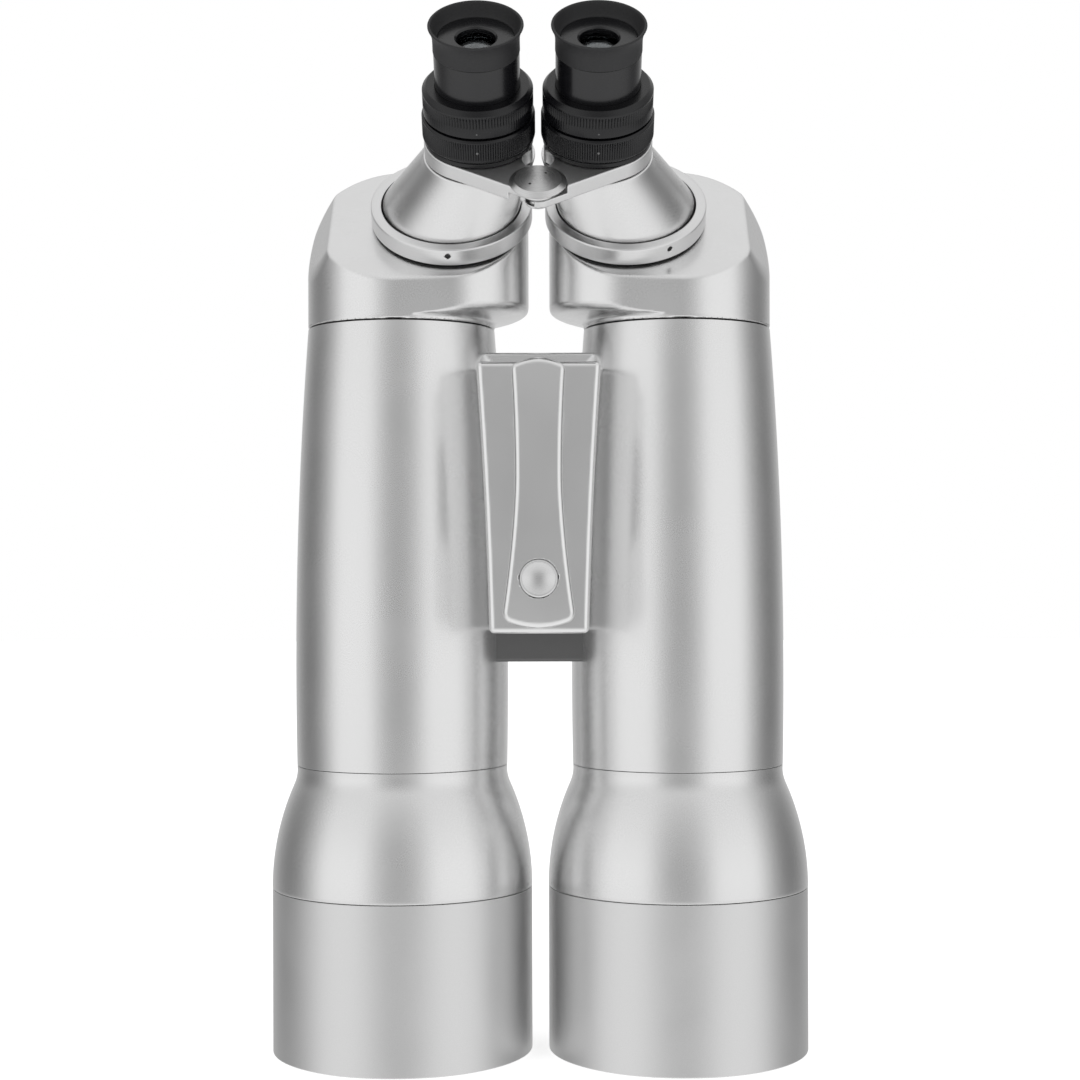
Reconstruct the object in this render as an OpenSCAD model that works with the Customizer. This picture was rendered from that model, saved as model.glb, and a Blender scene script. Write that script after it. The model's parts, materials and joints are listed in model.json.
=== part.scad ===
// Large 45 degree binoculars, standing on their lens hoods.
// Millimetres, +Z up, eyepieces leaning towards -Y, origin at the middle of the footprint.

/* [Tubes] */
// Distance from the middle plane to each tube axis
tube_x = 66; // [65.5:0.5:68]
// Largest outer radius of the slightly barrelled tube
tube_r_max = 50.7; // [50:0.1:51.5]
// Height at which the tube is fattest
tube_fat_z = 180; // [170:1:190]
// Radius of the long arc that gives the tube its swell
tube_swell_r = 2172; // [2000:1:2600]
// Height of the seam between bell and tube
tube_z0 = 136; // [134:0.5:138]
// Height of the seam between tube and prism housing
tube_z1 = 344; // [342:0.5:345]
// Wall of the tubes, bells and housings
wall = 3.2; // [2.8:0.1:3.4]

/* [Hood and objective] */
// Outer radius of the sliding lens hood
hood_r = 62; // [61:0.1:63]
// Length of the lens hood
hood_l = 77.8; // [76:0.1:77.8]
// Wall of the lens hood
hood_wall = 2.8; // [2.4:0.1:2.9]
// Height of the lower edge of the bell
bell_z0 = 78; // [78:0.1:79]
// Outer radius of the objective cell that the hood slides on
cell_r = 57.5; // [57:0.1:57.5]
// Clear radius of the objective lenses inside the cell
lens_r = 52; // [50:0.5:52]

/* [Prism housing] */
// Outer radius of the housing where it continues the tube
housing_r = 44.6; // [44:0.1:45]
// Radius of the bulge that reaches towards the middle
bulge_r = 37.5; // [36:0.1:38]
// Distance from the middle plane to the bulge axis
bulge_x = 42; // [41.5:0.1:43]
// Radius of the rounded shoulder, seen from the front
shoulder_r = 45.3; // [45:0.1:46]
// Height of the sloping face's plane where it crosses the tube axes
slope_z = 407; // [405:0.5:409]

/* [Turrets and eyepieces] */
// Distance from the middle plane to each turret axis
turret_x = 41.02; // [41:0.01:41.5]
// Offset of the eyepiece axis from the turret axis
eye_offset = 13.95; // [12.5:0.05:14.5]
// Outer radius of the fixed turret ring
ring_r = 37.95; // [37.8:0.05:38]
// Outer radius of the focus ring
focus_r = 25.75; // [25.5:0.05:26]
// Outer radius of the eyepiece collar
collar_r = 25; // [24.5:0.1:25.2]
// Outer radius of the eyepiece barrel
barrel_r = 19.15; // [19:0.05:19.15]
// Outer radius of the eyecup's rim
rim_r = 21.2; // [20.8:0.1:21.4]
// Height of the eyecup's rim above the sloping face
rim_w = 103.2; // [102:0.1:104]
// Distance down the slope from the turret axes to the linkage pivot
pivot_v = 37.05; // [36.5:0.05:37.5]

/* [Bridge, handle and foot] */
// Lower end of the web between the tubes
web_z0 = 187; // [185:1:190]
// Upper end of the web between the tubes
web_z1 = 331; // [328:1:332]
// Lower end of the front block
block_z0 = 199; // [197:1:201]
// Upper end of the front block
block_z1 = 322; // [320:1:324]
// Width of the front block at its upper end
block_w_top = 56.8; // [54:0.2:58]
// Width of the front block at its lower end
block_w_low = 43.7; // [42:0.1:46]
// Reach of the front block from the tube axes
block_front = 57.5; // [56:0.5:59]
// Reach of the handle from the tube axes
handle_front = 89; // [86:0.5:90]
// Reach of the tripod foot behind the tube axes
foot_back = 72; // [70:0.5:76]
// Radius of the large tripod thread
big_thread_r = 4.76; // [4.76:0.01:4.76]
// Radius of the two small tripod threads
small_thread_r = 3.17; // [3.17:0.01:3.17]

/* [Hidden] */
$fn = 96;

left = -1;
right = 1;
eps = 0.02;
run_fit = 0.05;

// The sloping face is the plane z - y = slope_z, and each turret axis is square to it
turret_y = -12.39;
turret_z = slope_z + turret_y;

// The whole model is moved along Y so that the origin is in the middle of its depth
front_reach = (rim_w + rim_r) / sqrt(2) - turret_y;
shift_y = (front_reach - foot_back) / 2;

// Turret ring and cone, as heights above the sloping face
ring_w0 = 2;
ring_w1 = 10.2;
ring_foot_r = 35.6;
skirt_r = 32.95;
flange_r = 34.9;
flange_w = 4;
cone_w1 = 37.2;
cone_top_r = 25.8;

// Linkage arms
arm_w0 = 37.5;
arm_w1 = 45;
lap_w = 41.25;
lap_gap = 0.15;
arm_eye_r = 25.3;
arm_pivot_r = 7.8;
lap_r = 8.5;
step_r = 13;
pin_r = 2.5;
pin_slot_r = 5.6;

// Neck, focus ring, collar and barrel, as heights above the sloping face
neck_r = 21.5;
guide_r = 20.5;
neck_flange_r = 25;
neck_flange_w0 = 45.3;
neck_flange_w1 = 47.5;
guide_w1 = 58.5;
focus_w0 = 47.8;
focus_w1 = 59.5;
collar_w0 = 60.3;
collar_w1 = 73.6;
barrel_w0 = 40;
sleeve_w = 90.5;
seat_w = 96.7;
seat_r = 17;
lens_hole_r = 8.7;

// Objective stack, as heights above the floor
cell_z0 = 26;
cell_z1 = 92;
lens_seat_z = 57;
crown_front_z = 35.5;
crown_back_z = 48.8;

// Handle and tripod foot
cap_z = 225;
cap_r = 8.4;
stud_z = 311;
foot_z0 = 213;
foot_z1 = 297;
foot_mid_z = (foot_z0 + foot_z1) / 2;
foot_hole_step = 26;
foot_screw_step = 13;
screw_w = 6.6;

// Outer radius of the tube at height z
function tube_r(z) =
    tube_r_max - tube_swell_r + sqrt(tube_swell_r * tube_swell_r - pow(z - tube_fat_z, 2));

// Outer radius of the bell at height z: a long convex arc, then a short concave run into the tube
bell_arc_r = 121;
bell_r0 = hood_r + 0.1;
bell_turn_z = 127;
function bell_arc(z) = bell_r0 - bell_arc_r + sqrt(bell_arc_r * bell_arc_r - pow(z - bell_z0, 2));
function bell_r(z) =
    z < bell_turn_z
        ? bell_arc(z)
        : bell_arc(bell_turn_z) + (tube_r(tube_z0) - bell_arc(bell_turn_z)) * turn_ease(z);
function turn_ease(z) = sin(90 * min(1, (z - bell_turn_z) / (tube_z0 - bell_turn_z)));

// Heights from a to b in n equal steps
function steps(a, b, n) = [for (i = [0:n]) a + (b - a) * i / n];

// Moves a shape drawn about the Z axis onto a tube axis
module on_tube(side) {
    translate([side * tube_x, shift_y, 0]) children();
}

// Moves a shape drawn on the right-hand side to the wanted side
module on_side(side) {
    translate([0, shift_y, 0]) mirror([side < 0 ? 1 : 0, 0, 0]) children();
}

// Moves a shape from slope coordinates (X across, Y up the slope, Z out of the face) onto a turret axis
module on_turret(side) {
    translate([side * turret_x, turret_y + shift_y, turret_z]) rotate([45, 0, 0]) children();
}

// Moves a shape from slope coordinates onto an eyepiece axis
module on_eyepiece(side) {
    on_turret(side) translate([-side * eye_offset, 0, 0]) children();
}

// Moves a shape from slope coordinates onto the middle plane
module on_slope() {
    translate([0, turret_y + shift_y, turret_z]) rotate([45, 0, 0]) children();
}

// A turned ring between radii r0 and r1 and heights z0 and z1, with its outer edges broken
module ring(r0, r1, z0, z1, edge = 0.4) {
    rotate_extrude()
        polygon([
            [r0, z0], [r1 - edge, z0], [r1, z0 + edge],
            [r1, z1 - edge], [r1 - edge, z1], [r0, z1]
        ]);
}

// A plate over two circles and the straight sides that touch both
module two_circle_plate(c1, r1, c2, r2) {
    d = norm(c2 - c1);
    along = atan2(c2[1] - c1[1], c2[0] - c1[0]);
    spread = acos((r1 - r2) / d);
    translate(c1) circle(r1);
    translate(c2) circle(r2);
    polygon([
        c1 + r1 * [cos(along + spread), sin(along + spread)],
        c2 + r2 * [cos(along + spread), sin(along + spread)],
        c2 + r2 * [cos(along - spread), sin(along - spread)],
        c1 + r1 * [cos(along - spread), sin(along - spread)]
    ]);
}

// ---- Tubes, bells and objectives ----

// The solid outline of one tube, grown by extra
module tube_body(extra = 0) {
    rotate_extrude()
        polygon(concat(
            [[0, tube_z0]],
            [for (z = steps(tube_z0, tube_z1, 12)) [tube_r(z) + extra, z]],
            [[0, tube_z1]]
        ));
}

module tube(side) {
    color("silver") on_tube(side)
        rotate_extrude()
            polygon(concat(
                [for (z = steps(tube_z0, tube_z1, 12)) [tube_r(z), z]],
                [for (z = steps(tube_z1, tube_z0, 12)) [tube_r(z) - wall, z]]
            ));
}

module bell(side) {
    bore_r = cell_r + 0.05;
    spigot_r = tube_r(tube_z0) - wall - 0.05;
    color("silver") on_tube(side)
        rotate_extrude()
            polygon(concat(
                [[bore_r, bell_z0]],
                [for (z = steps(bell_z0, tube_z0, 14)) [bell_r(z), z]],
                [[spigot_r, tube_z0], [spigot_r, tube_z0 + 8], [spigot_r - 2.6, tube_z0 + 8]],
                [for (z = steps(tube_z0, cell_z1 + 4, 8)) [min(bell_r(z) - wall, bore_r - 2.5), z]],
                [[bore_r - 2.5, cell_z1 + 0.1], [bore_r, cell_z1 + 0.1]]
            ));
}

module objective_cell(side) {
    color("dimgray") on_tube(side)
        rotate_extrude()
            polygon([
                [lens_r + 0.3, cell_z0], [cell_r, cell_z0], [cell_r, cell_z1],
                [cell_r - 3, cell_z1], [cell_r - 3, lens_seat_z + 3], [lens_r - 2.2, lens_seat_z + 3],
                [lens_r - 2.2, lens_seat_z], [lens_r + 0.3, lens_seat_z]
            ]);
}

// Sag of a spherical face of radius face_r at distance r from the axis
function sag(face_r, r) = face_r - sqrt(face_r * face_r - r * r);

module crown_lens(side) {
    color("lightcyan") on_tube(side)
        rotate_extrude()
            polygon(concat(
                [for (r = steps(0, lens_r, 8)) [r, crown_front_z + sag(330, r)]],
                [for (r = steps(lens_r, 0, 8)) [r, crown_back_z - sag(420, r)]]
            ));
}

module flint_lens(side) {
    color("lightcyan") on_tube(side)
        rotate_extrude()
            polygon(concat(
                [for (r = steps(0, lens_r, 8)) [r, crown_back_z + 0.8 - sag(420, r)]],
                [[lens_r, lens_seat_z - 0.05], [0, lens_seat_z - 0.05]]
            ));
}

module lens_retainer(side) {
    top_z = crown_front_z + sag(330, lens_r - 2.5) - 0.1;
    color("dimgray") on_tube(side)
        ring(lens_r - 2.5, lens_r + 0.2, top_z - 4, top_z);
}

// Three thin shims keep each pair of lenses apart
module lens_spacers() {
    shim_r = lens_r - 1.6;
    shim_z = crown_back_z - sag(420, lens_r) + 0.25;
    color("gainsboro")
        for (side = [left, right])
            on_tube(side)
                for (a = [30, 150, 270])
                    rotate([0, 0, a]) translate([shim_r, -2, shim_z]) cube([1.4, 4, 0.5]);
}

// Three knife-edged rings in each tube stop stray light
module tube_baffles() {
    color("dimgray")
        for (side = [left, right])
            on_tube(side)
                for (z = [190, 250, 305])
                    ring(tube_r(z) - wall - 9 - (z - 190) / 20, tube_r(z + 1) - wall - eps, z, z + 1, 0.2);
}

// ---- Hoods ----

module hood(side) {
    color("silver") on_tube(side)
        rotate_extrude()
            polygon([
                [hood_r - hood_wall, 0.6], [hood_r - hood_wall + 0.5, 0], [hood_r - 0.5, 0], [hood_r, 0.6],
                [hood_r, hood_l - 0.5], [hood_r - 0.5, hood_l], [hood_r - hood_wall, hood_l]
            ]);
}

module hood_felt(side) {
    color("black") on_tube(side)
        difference() {
            translate([0, 0, 42]) cylinder(r = hood_r - hood_wall - 0.05, h = 34);
            translate([0, 0, 41]) cylinder(r = cell_r + 0.1, h = 36);
        }
}

// ---- Prism housings ----

// The housing's solid shape on the right-hand side, with every face moved inwards by inset
module housing_solid(inset) {
    top_z = slope_z + 20;
    bevel_x = 98.5 - inset;
    inner_round_r = 24;
    intersection() {
        union() {
            translate([tube_x, 0, tube_z1 + inset]) cylinder(r = housing_r - inset, h = top_z - tube_z1);
            translate([bulge_x, -6, tube_z1 + 1 + inset]) cylinder(r = bulge_r - inset, h = top_z - tube_z1);
        }
        // below the sloping face
        translate([0, turret_y, turret_z]) rotate([45, 0, 0])
            translate([-10, -150, -150 - inset]) cube([200, 300, 150]);
        // inside the bevel along the sloping face's outer edge
        translate([bevel_x, turret_y, turret_z]) rotate([45, 0, 0]) rotate([0, 45, 0])
            translate([-200, -150, -200 - inset * 0.41]) cube([400, 300, 200]);
        // under the rounded shoulder
        translate([0, 60, 0]) rotate([90, 0, 0])
            linear_extrude(120)
                union() {
                    translate([tube_x, tube_z1 + 32.7]) circle(shoulder_r - inset);
                    translate([inner_round_r + 4.5, tube_z1 + 78 - inner_round_r]) circle(inner_round_r - inset);
                    translate([inner_round_r + 4.5, tube_z1 - 10])
                        square([tube_x - inner_round_r - 4.5, 88 - inset]);
                    translate([inset, tube_z1 - 10])
                        square([tube_x + shoulder_r - 2 * inset, 42.7]);
                    translate([inset + 4.5, tube_z1]) square([40, 78 - inner_round_r]);
                }
    }
}

module prism_housing(side) {
    spigot_r = tube_r(tube_z1) - wall - 0.1;
    color("silver") on_side(side)
        difference() {
            union() {
                housing_solid(0);
                translate([tube_x, 0, tube_z1 - 8]) cylinder(r = spigot_r, h = 9);
            }
            housing_solid(wall);
            translate([tube_x, 0, tube_z1 - 9]) cylinder(r = spigot_r - 2.5, h = 16);
            translate([turret_x, turret_y, turret_z]) rotate([45, 0, 0])
                translate([0, 0, -12]) cylinder(r = 25, h = 20);
        }
}

// Floor plate that carries the prisms
module prism_shelf(side) {
    shelf_z = tube_z1 + 4.4;
    color("dimgray") on_side(side)
        difference() {
            union() {
                translate([tube_x, 0, shelf_z]) cylinder(r = housing_r - wall - 0.3, h = 2.5);
                translate([bulge_x, -6, shelf_z]) cylinder(r = bulge_r - wall - 0.3, h = 2.5);
            }
            translate([tube_x, 0, shelf_z - 1]) cylinder(r = 11.5, h = 5);
            translate([turret_x, 0, shelf_z - 1]) cylinder(r = 4, h = 5);
        }
}

// Rhomboid prism that moves the light from the tube axis to the turret axis
module offset_prism(side) {
    base_z = tube_z1 + 7;
    step_x = tube_x - turret_x;
    height = 19;
    color("lightcyan") on_side(side)
        translate([0, 12, 0]) rotate([90, 0, 0])
            linear_extrude(24)
                polygon([
                    [tube_x + 12, base_z], [tube_x + 12 - step_x, base_z],
                    [tube_x + 12 - step_x - height, base_z + height], [tube_x + 12 - height, base_z + height]
                ]);
}

// Roof prism that turns the light through 45 degrees onto the turret axis
module roof_prism(side) {
    base_z = tube_z1 + 26.2;
    color("lightcyan") on_side(side)
        translate([turret_x - 11, 0, 0]) rotate([90, 0, 90])
            linear_extrude(22)
                polygon([
                    [-11, base_z], [12, base_z], [12, base_z + 29],
                    [2, base_z + 29], [-11, base_z + 16]
                ]);
}

// ---- Turrets ----

// Direction of the first set screw in each ring
function first_screw(side) = side == left ? -91 : -59;

module turret_ring(side) {
    color("silver") on_turret(side)
        difference() {
            rotate_extrude()
                polygon([
                    [flange_r + 0.1, 0.02], [ring_foot_r + 0.6, 0.02], [ring_foot_r + 0.6, ring_w0],
                    [ring_r, ring_w0], [ring_r, ring_w1 - 0.8], [ring_r - 0.8, ring_w1],
                    [skirt_r + run_fit, ring_w1], [skirt_r + run_fit, flange_w + 0.3],
                    [flange_r + 0.1, flange_w + 0.3]
                ]);
            for (a = [0, 120, 240])
                rotate([0, 0, first_screw(side) + a])
                    translate([0, 0, screw_w]) rotate([0, 90, 0]) cylinder(r = 1.25, h = ring_r + 2);
        }
}

module turret_set_screws() {
    color("black")
        for (side = [left, right])
            on_turret(side)
                for (a = [0, 120, 240])
                    rotate([0, 0, first_screw(side) + a])
                        translate([skirt_r + 0.6, 0, screw_w]) rotate([0, 90, 0]) cylinder(r = 1.2, h = 3.4);
}

// Leaning cone that carries the eyepiece off the turret axis
module turret_cone(side) {
    lean = -side * eye_offset;
    color("silver") on_turret(side)
        difference() {
            union() {
                cylinder_from(flange_r, 0.3, flange_w);
                cylinder_from(skirt_r, 0.3, ring_w1 + 0.4);
                hull() {
                    translate([0, 0, ring_w1]) cylinder(r = skirt_r - 0.3, h = 0.4);
                    translate([lean, 0, cone_w1 - 0.4]) cylinder(r = cone_top_r, h = 0.4);
                }
            }
            translate([0, 0, -1]) cylinder(r = skirt_r - wall, h = ring_w1 + 1);
            hull() {
                translate([0, 0, ring_w1 - 0.5]) cylinder(r = skirt_r - wall - 0.3, h = 0.4);
                translate([lean, 0, cone_w1 - wall]) cylinder(r = cone_top_r - wall - 1, h = 0.4);
            }
            translate([lean, 0, cone_w1 - 8]) cylinder(r = guide_r - 1.5, h = 20);
        }
}

// Threaded neck on the cone, with the flange that keeps the arm on
module eyepiece_neck(side) {
    color("black") on_eyepiece(side)
        difference() {
            union() {
                translate([0, 0, cone_w1]) cylinder(r = neck_r, h = neck_flange_w0 - cone_w1);
                translate([0, 0, neck_flange_w0])
                    cylinder(r = neck_flange_r, h = neck_flange_w1 - neck_flange_w0);
                cylinder_from(guide_r, neck_flange_w1, guide_w1);
            }
            cylinder_from(barrel_r + run_fit, cone_w1 - 1, guide_w1 + 1);
        }
}

// A cylinder of radius r between heights z0 and z1
module cylinder_from(r, z0, z1) {
    translate([0, 0, z0]) cylinder(r = r, h = z1 - z0);
}

// ---- Linkage ----

// The full outline of one arm in slope coordinates, with the scoop between the arms cut away
module arm_outline(side) {
    eye = [side * (turret_x - eye_offset), 0];
    pivot = [0, -pivot_v];
    difference() {
        two_circle_plate(eye, arm_eye_r, pivot, arm_pivot_r);
        translate([side * -1.5, -16]) circle(8.5);
        translate([side < 0 ? -2.6 : -40, -pivot_v + arm_pivot_r]) square([42.6, 80]);
    }
}

module arm(side) {
    upper = side == left;
    color("silver") on_slope()
        difference() {
            union() {
                translate([0, 0, arm_w0])
                    linear_extrude(arm_w1 - arm_w0)
                        difference() {
                            arm_outline(side);
                            translate([0, -pivot_v]) circle(step_r);
                        }
                translate([0, 0, upper ? lap_w + lap_gap : arm_w0])
                    linear_extrude(upper ? arm_w1 - lap_w - lap_gap : lap_w - lap_gap - arm_w0)
                        union() {
                            arm_outline(side);
                            translate([0, -pivot_v]) circle(lap_r);
                        }
            }
            translate([side * (turret_x - eye_offset), 0, arm_w0 - 1])
                cylinder(r = neck_r + run_fit, h = 10);
            translate([0, -pivot_v, arm_w0 - 1]) cylinder(r = upper ? pin_r + 0.02 : pin_slot_r, h = 10);
        }
}

// Linkage pin with its bevelled cap and a washer under it
module pivot_pin() {
    color("lightgray") on_slope()
        translate([0, -pivot_v, 0])
            difference() {
                union() {
                    cylinder_from(pin_r, arm_w0 - 1.4, arm_w1 + 1);
                    cylinder_from(6.2, arm_w0 - 1.6, arm_w0 - 0.3);
                    cylinder_from(lap_r + 0.2, arm_w1 + 0.02, arm_w1 + 1);
                    rotate_extrude()
                        polygon([[0, 46], [12.2, 46], [12.8, 46.4], [10.45, 48.1], [4, 48.4], [0, 48.3]]);
                }
                for (a = [50, 230])
                    rotate([0, 0, a]) translate([5.5, 0, 47]) cylinder(r = 0.7, h = 3);
            }
}

// ---- Focus rings and eyepieces ----

module focus_ring(side) {
    color("dimgray") on_eyepiece(side)
        difference() {
            ring(guide_r + run_fit, focus_r, focus_w0, focus_w1, 0.7);
            for (a = [0:60:300])
                rotate([0, 0, a]) translate([focus_r - 0.2, 0, focus_w0 + 3]) rotate([0, 90, 0])
                    cylinder(r = 0.5, h = 2);
        }
}

module eyepiece_collar(side) {
    color("dimgray") on_eyepiece(side) ring(barrel_r + eps, collar_r, collar_w0, collar_w1, 1.2);
}

module eyepiece_barrel(side) {
    color("black") on_eyepiece(side)
        rotate_extrude()
            polygon([
                [16.6, barrel_w0], [barrel_r, barrel_w0], [barrel_r, sleeve_w], [seat_r, sleeve_w],
                [seat_r, seat_w], [lens_hole_r + 1.5, seat_w], [lens_hole_r, seat_w - 1.6],
                [lens_hole_r, seat_w - 3.5], [10.1, seat_w - 3.5], [10.1, sleeve_w - 4], [16.6, sleeve_w - 9]
            ]);
}

module eyecup(side) {
    color("black") on_eyepiece(side)
        rotate_extrude()
            polygon([
                [seat_r + 0.02, sleeve_w], [19.3, sleeve_w], [19.3, 96.2], [19.7, 98.6], [20.6, 101.2],
                [rim_r, 102.6], [rim_r - 0.1, rim_w - 0.1], [rim_r - 0.6, rim_w], [19.8, rim_w - 0.2],
                [19.2, 102], [18.2, 99.4], [seat_r + 0.3, 97.4], [seat_r + 0.02, 96.7]
            ]);
}

module eye_lens(side) {
    color("lightcyan") on_eyepiece(side)
        rotate_extrude()
            polygon(concat(
                [[0, seat_w - 9], [10, seat_w - 8]],
                [for (r = steps(10, 0, 6)) [r, seat_w - 3.6 - sag(40, r)]]
            ));
}

module field_lens(side) {
    color("lightcyan") on_eyepiece(side)
        rotate_extrude()
            polygon(concat(
                [[0, 62], [16.5, 65]],
                [for (r = steps(16.5, 0, 6)) [r, 71 - sag(60, r)]]
            ));
}

// ---- Bridge, block, handle and foot ----

// Removes both tubes from whatever it is given
module clear_of_tubes() {
    difference() {
        children();
        for (side = [left, right])
            translate([side * tube_x, 0, 0]) tube_body(eps);
    }
}

module bridge() {
    flank = 8;
    color("silver") translate([0, shift_y, 0])
        difference() {
            clear_of_tubes()
                translate([0, 0, web_z0])
                    linear_extrude(web_z1 - web_z0)
                        polygon([
                            [-30, -22 - flank], [-23, -22 - flank], [-16, -22], [16, -22], [23, -22 - flank],
                            [30, -22 - flank], [30, 22 + flank], [23, 22 + flank], [16, 22],
                            [-16, 22], [-23, 22 + flank], [-30, 22 + flank]
                        ]);
            for (s = [-1, 1])
                translate([0, 30, foot_mid_z + s * foot_screw_step]) rotate([90, 0, 0])
                    cylinder(r = 2.6, h = 21);
        }
}

module front_block() {
    edge = 2.5;
    color("silver") translate([0, shift_y, 0])
        difference() {
            clear_of_tubes()
                intersection() {
                    // tapered outline seen from the front
                    translate([0, -20, 0]) rotate([90, 0, 0])
                        linear_extrude(block_front)
                            polygon([
                                [-block_w_low / 2, block_z0], [block_w_low / 2, block_z0],
                                [block_w_top / 2, block_z1], [-block_w_top / 2, block_z1]
                            ]);
                    // rounded front edges seen from above
                    translate([0, 0, block_z0 - 1])
                        linear_extrude(block_z1 - block_z0 + 2)
                            polygon([
                                [-30, -22.1], [-30, -block_front + edge + 2], [-30 + edge, -block_front],
                                [30 - edge, -block_front], [30, -block_front + edge + 2], [30, -22.1],
                                [16, -22.1], [-16, -22.1]
                            ]);
                    // clear of the bridge's flanks
                    clear_of_bridge();
                }
            for (z = [cap_z, stud_z])
                translate([0, -40, z]) rotate([90, 0, 0]) cylinder(r = 3.05, h = 30);
        }
}

// Everything in front of the bridge
module clear_of_bridge() {
    translate([0, 0, block_z0 - 2])
        linear_extrude(block_z1 - block_z0 + 4)
            polygon([
                [-40, -30.1], [-22.9, -30.1], [-15.9, -22.1], [15.9, -22.1],
                [22.9, -30.1], [40, -30.1], [40, -100], [-40, -100]
            ]);
}

// Half the handle's width at height z: narrow in the middle, wider towards both ends
handle_waist_z = 270;
handle_z0 = 206.5;
handle_z1 = 319;
function handle_half_w(z) =
    z > handle_waist_z
        ? 9.8 + 2 * pow((z - handle_waist_z) / (handle_z1 - handle_waist_z), 2)
        : 9.8 + 5.7 * pow((handle_waist_z - z) / (handle_waist_z - handle_z0), 1.6);

// Reach of the handle's outer face at height z, a shallow arch
function handle_reach(z) = handle_front - 3.5 * pow((z - 263) / 60, 2);

module handle() {
    right_edge = [for (z = steps(handle_z0, handle_z1, 14)) [handle_half_w(z), z]];
    left_edge = [for (z = steps(handle_z1, handle_z0, 14)) [-handle_half_w(z), z]];
    top_arc = [for (x = steps(9, -9, 6)) [x, handle_z1 + 3 * (1 - x * x / 121)]];
    low_arc = [for (x = steps(-13, 13, 8)) [x, handle_z0 - 3.5 * (1 - x * x / 237)]];
    color("silver") translate([0, shift_y, 0])
        difference() {
            intersection() {
                rotate([90, 0, 0])
                    linear_extrude(handle_front + 2)
                        polygon(concat(right_edge, top_arc, left_edge, low_arc));
                translate([-20, 0, 0]) rotate([90, 0, 90])
                    linear_extrude(40)
                        polygon(concat(
                            [for (z = steps(200, 325, 12)) [-handle_reach(z), z]],
                            [
                                [-block_front - 0.02, 325], [-block_front - 0.02, 302],
                                [-78, 297], [-79.5, 270], [-78, 244],
                                [-block_front - 0.02, 239], [-block_front - 0.02, 200]
                            ]
                        ));
            }
            // seat of the cap and the lower screw's way in
            translate([0, -handle_front + 6, cap_z]) rotate([90, 0, 0]) cylinder(r = cap_r + 0.05, h = 20);
            translate([0, -block_front + 10, cap_z]) rotate([90, 0, 0]) cylinder(r = 3.05, h = 36);
            translate([0, -block_front + 10, stud_z]) rotate([90, 0, 0]) cylinder(r = 3.05, h = 26);
        }
}

module handle_cap() {
    color("silver") translate([0, shift_y - handle_front + 5.9, cap_z]) rotate([90, 0, 0])
        rotate_extrude()
            polygon(concat(
                [[0, 0], [cap_r, 0], [cap_r, 4.6], [cap_r - 0.8, 5.3]],
                [for (r = steps(cap_r - 1.5, 0, 5)) [r, 5.3 - 1.9 * (1 - pow(r / (cap_r - 1.5), 2))]]
            ));
}

// The lower screw is hidden by the cap, and the upper stud by the handle itself
module handle_screws() {
    color("dimgray") translate([0, shift_y, 0]) {
        translate([0, -block_front + 16, cap_z]) rotate([90, 0, 0]) cylinder(r = 3, h = 41);
        translate([0, -block_front + 16, stud_z]) rotate([90, 0, 0]) cylinder(r = 3, h = 31);
    }
}

module tripod_foot() {
    color("silver") translate([0, shift_y, 0])
        difference() {
            translate([0, 0, foot_z0])
                linear_extrude(foot_z1 - foot_z0)
                    polygon([
                        [-15.9, 22.1], [15.9, 22.1], [15.9, 46], [22, 52], [22, foot_back - 1],
                        [21, foot_back], [-21, foot_back], [-22, foot_back - 1], [-22, 52], [-15.9, 46]
                    ]);
            translate([0, foot_back + 1, foot_mid_z]) rotate([90, 0, 0]) cylinder(r = 8.05, h = 15);
            for (s = [-1, 1]) {
                translate([0, foot_back + 1, foot_mid_z + s * foot_hole_step]) rotate([90, 0, 0])
                    cylinder(r = small_thread_r, h = 13);
                translate([0, foot_back + 1, foot_mid_z + s * foot_screw_step]) rotate([90, 0, 0])
                    cylinder(r = 4.6, h = foot_back - 32);
                translate([0, foot_back - 31, foot_mid_z + s * foot_screw_step]) rotate([90, 0, 0])
                    cylinder(r = 2.6, h = 30);
            }
        }
}

// Two screws in deep counterbores hold the foot to the bridge
module foot_screws() {
    color("dimgray") translate([0, shift_y, foot_mid_z])
        for (s = [-1, 1])
            translate([0, 38, s * foot_screw_step]) rotate([90, 0, 0]) {
                cylinder(r = 2.5, h = 28);
                cylinder(r = 4.5, h = 4.5);
            }
}

module thread_bush() {
    color("goldenrod") translate([0, shift_y + foot_back, foot_mid_z]) rotate([90, 0, 0])
        difference() {
            cylinder(r = 8, h = 13.5);
            translate([0, 0, -1]) cylinder(r = big_thread_r, h = 20);
        }
}

// ---- Sub-parts by name ----

module tube_left() { tube(left); }
module tube_right() { tube(right); }
module bell_left() { bell(left); }
module bell_right() { bell(right); }
module objective_cell_left() { objective_cell(left); }
module objective_cell_right() { objective_cell(right); }
module crown_lens_left() { crown_lens(left); }
module crown_lens_right() { crown_lens(right); }
module flint_lens_left() { flint_lens(left); }
module flint_lens_right() { flint_lens(right); }
module lens_retainer_left() { lens_retainer(left); }
module lens_retainer_right() { lens_retainer(right); }
module prism_housing_left() { prism_housing(left); }
module prism_housing_right() { prism_housing(right); }
module prism_shelf_left() { prism_shelf(left); }
module prism_shelf_right() { prism_shelf(right); }
module offset_prism_left() { offset_prism(left); }
module offset_prism_right() { offset_prism(right); }
module roof_prism_left() { roof_prism(left); }
module roof_prism_right() { roof_prism(right); }
module turret_ring_left() { turret_ring(left); }
module turret_ring_right() { turret_ring(right); }
module hood_left() { hood(left); }
module hood_right() { hood(right); }
module hood_felt_left() { hood_felt(left); }
module hood_felt_right() { hood_felt(right); }
module turret_cone_left() { turret_cone(left); }
module turret_cone_right() { turret_cone(right); }
module eyepiece_neck_left() { eyepiece_neck(left); }
module eyepiece_neck_right() { eyepiece_neck(right); }
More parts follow.
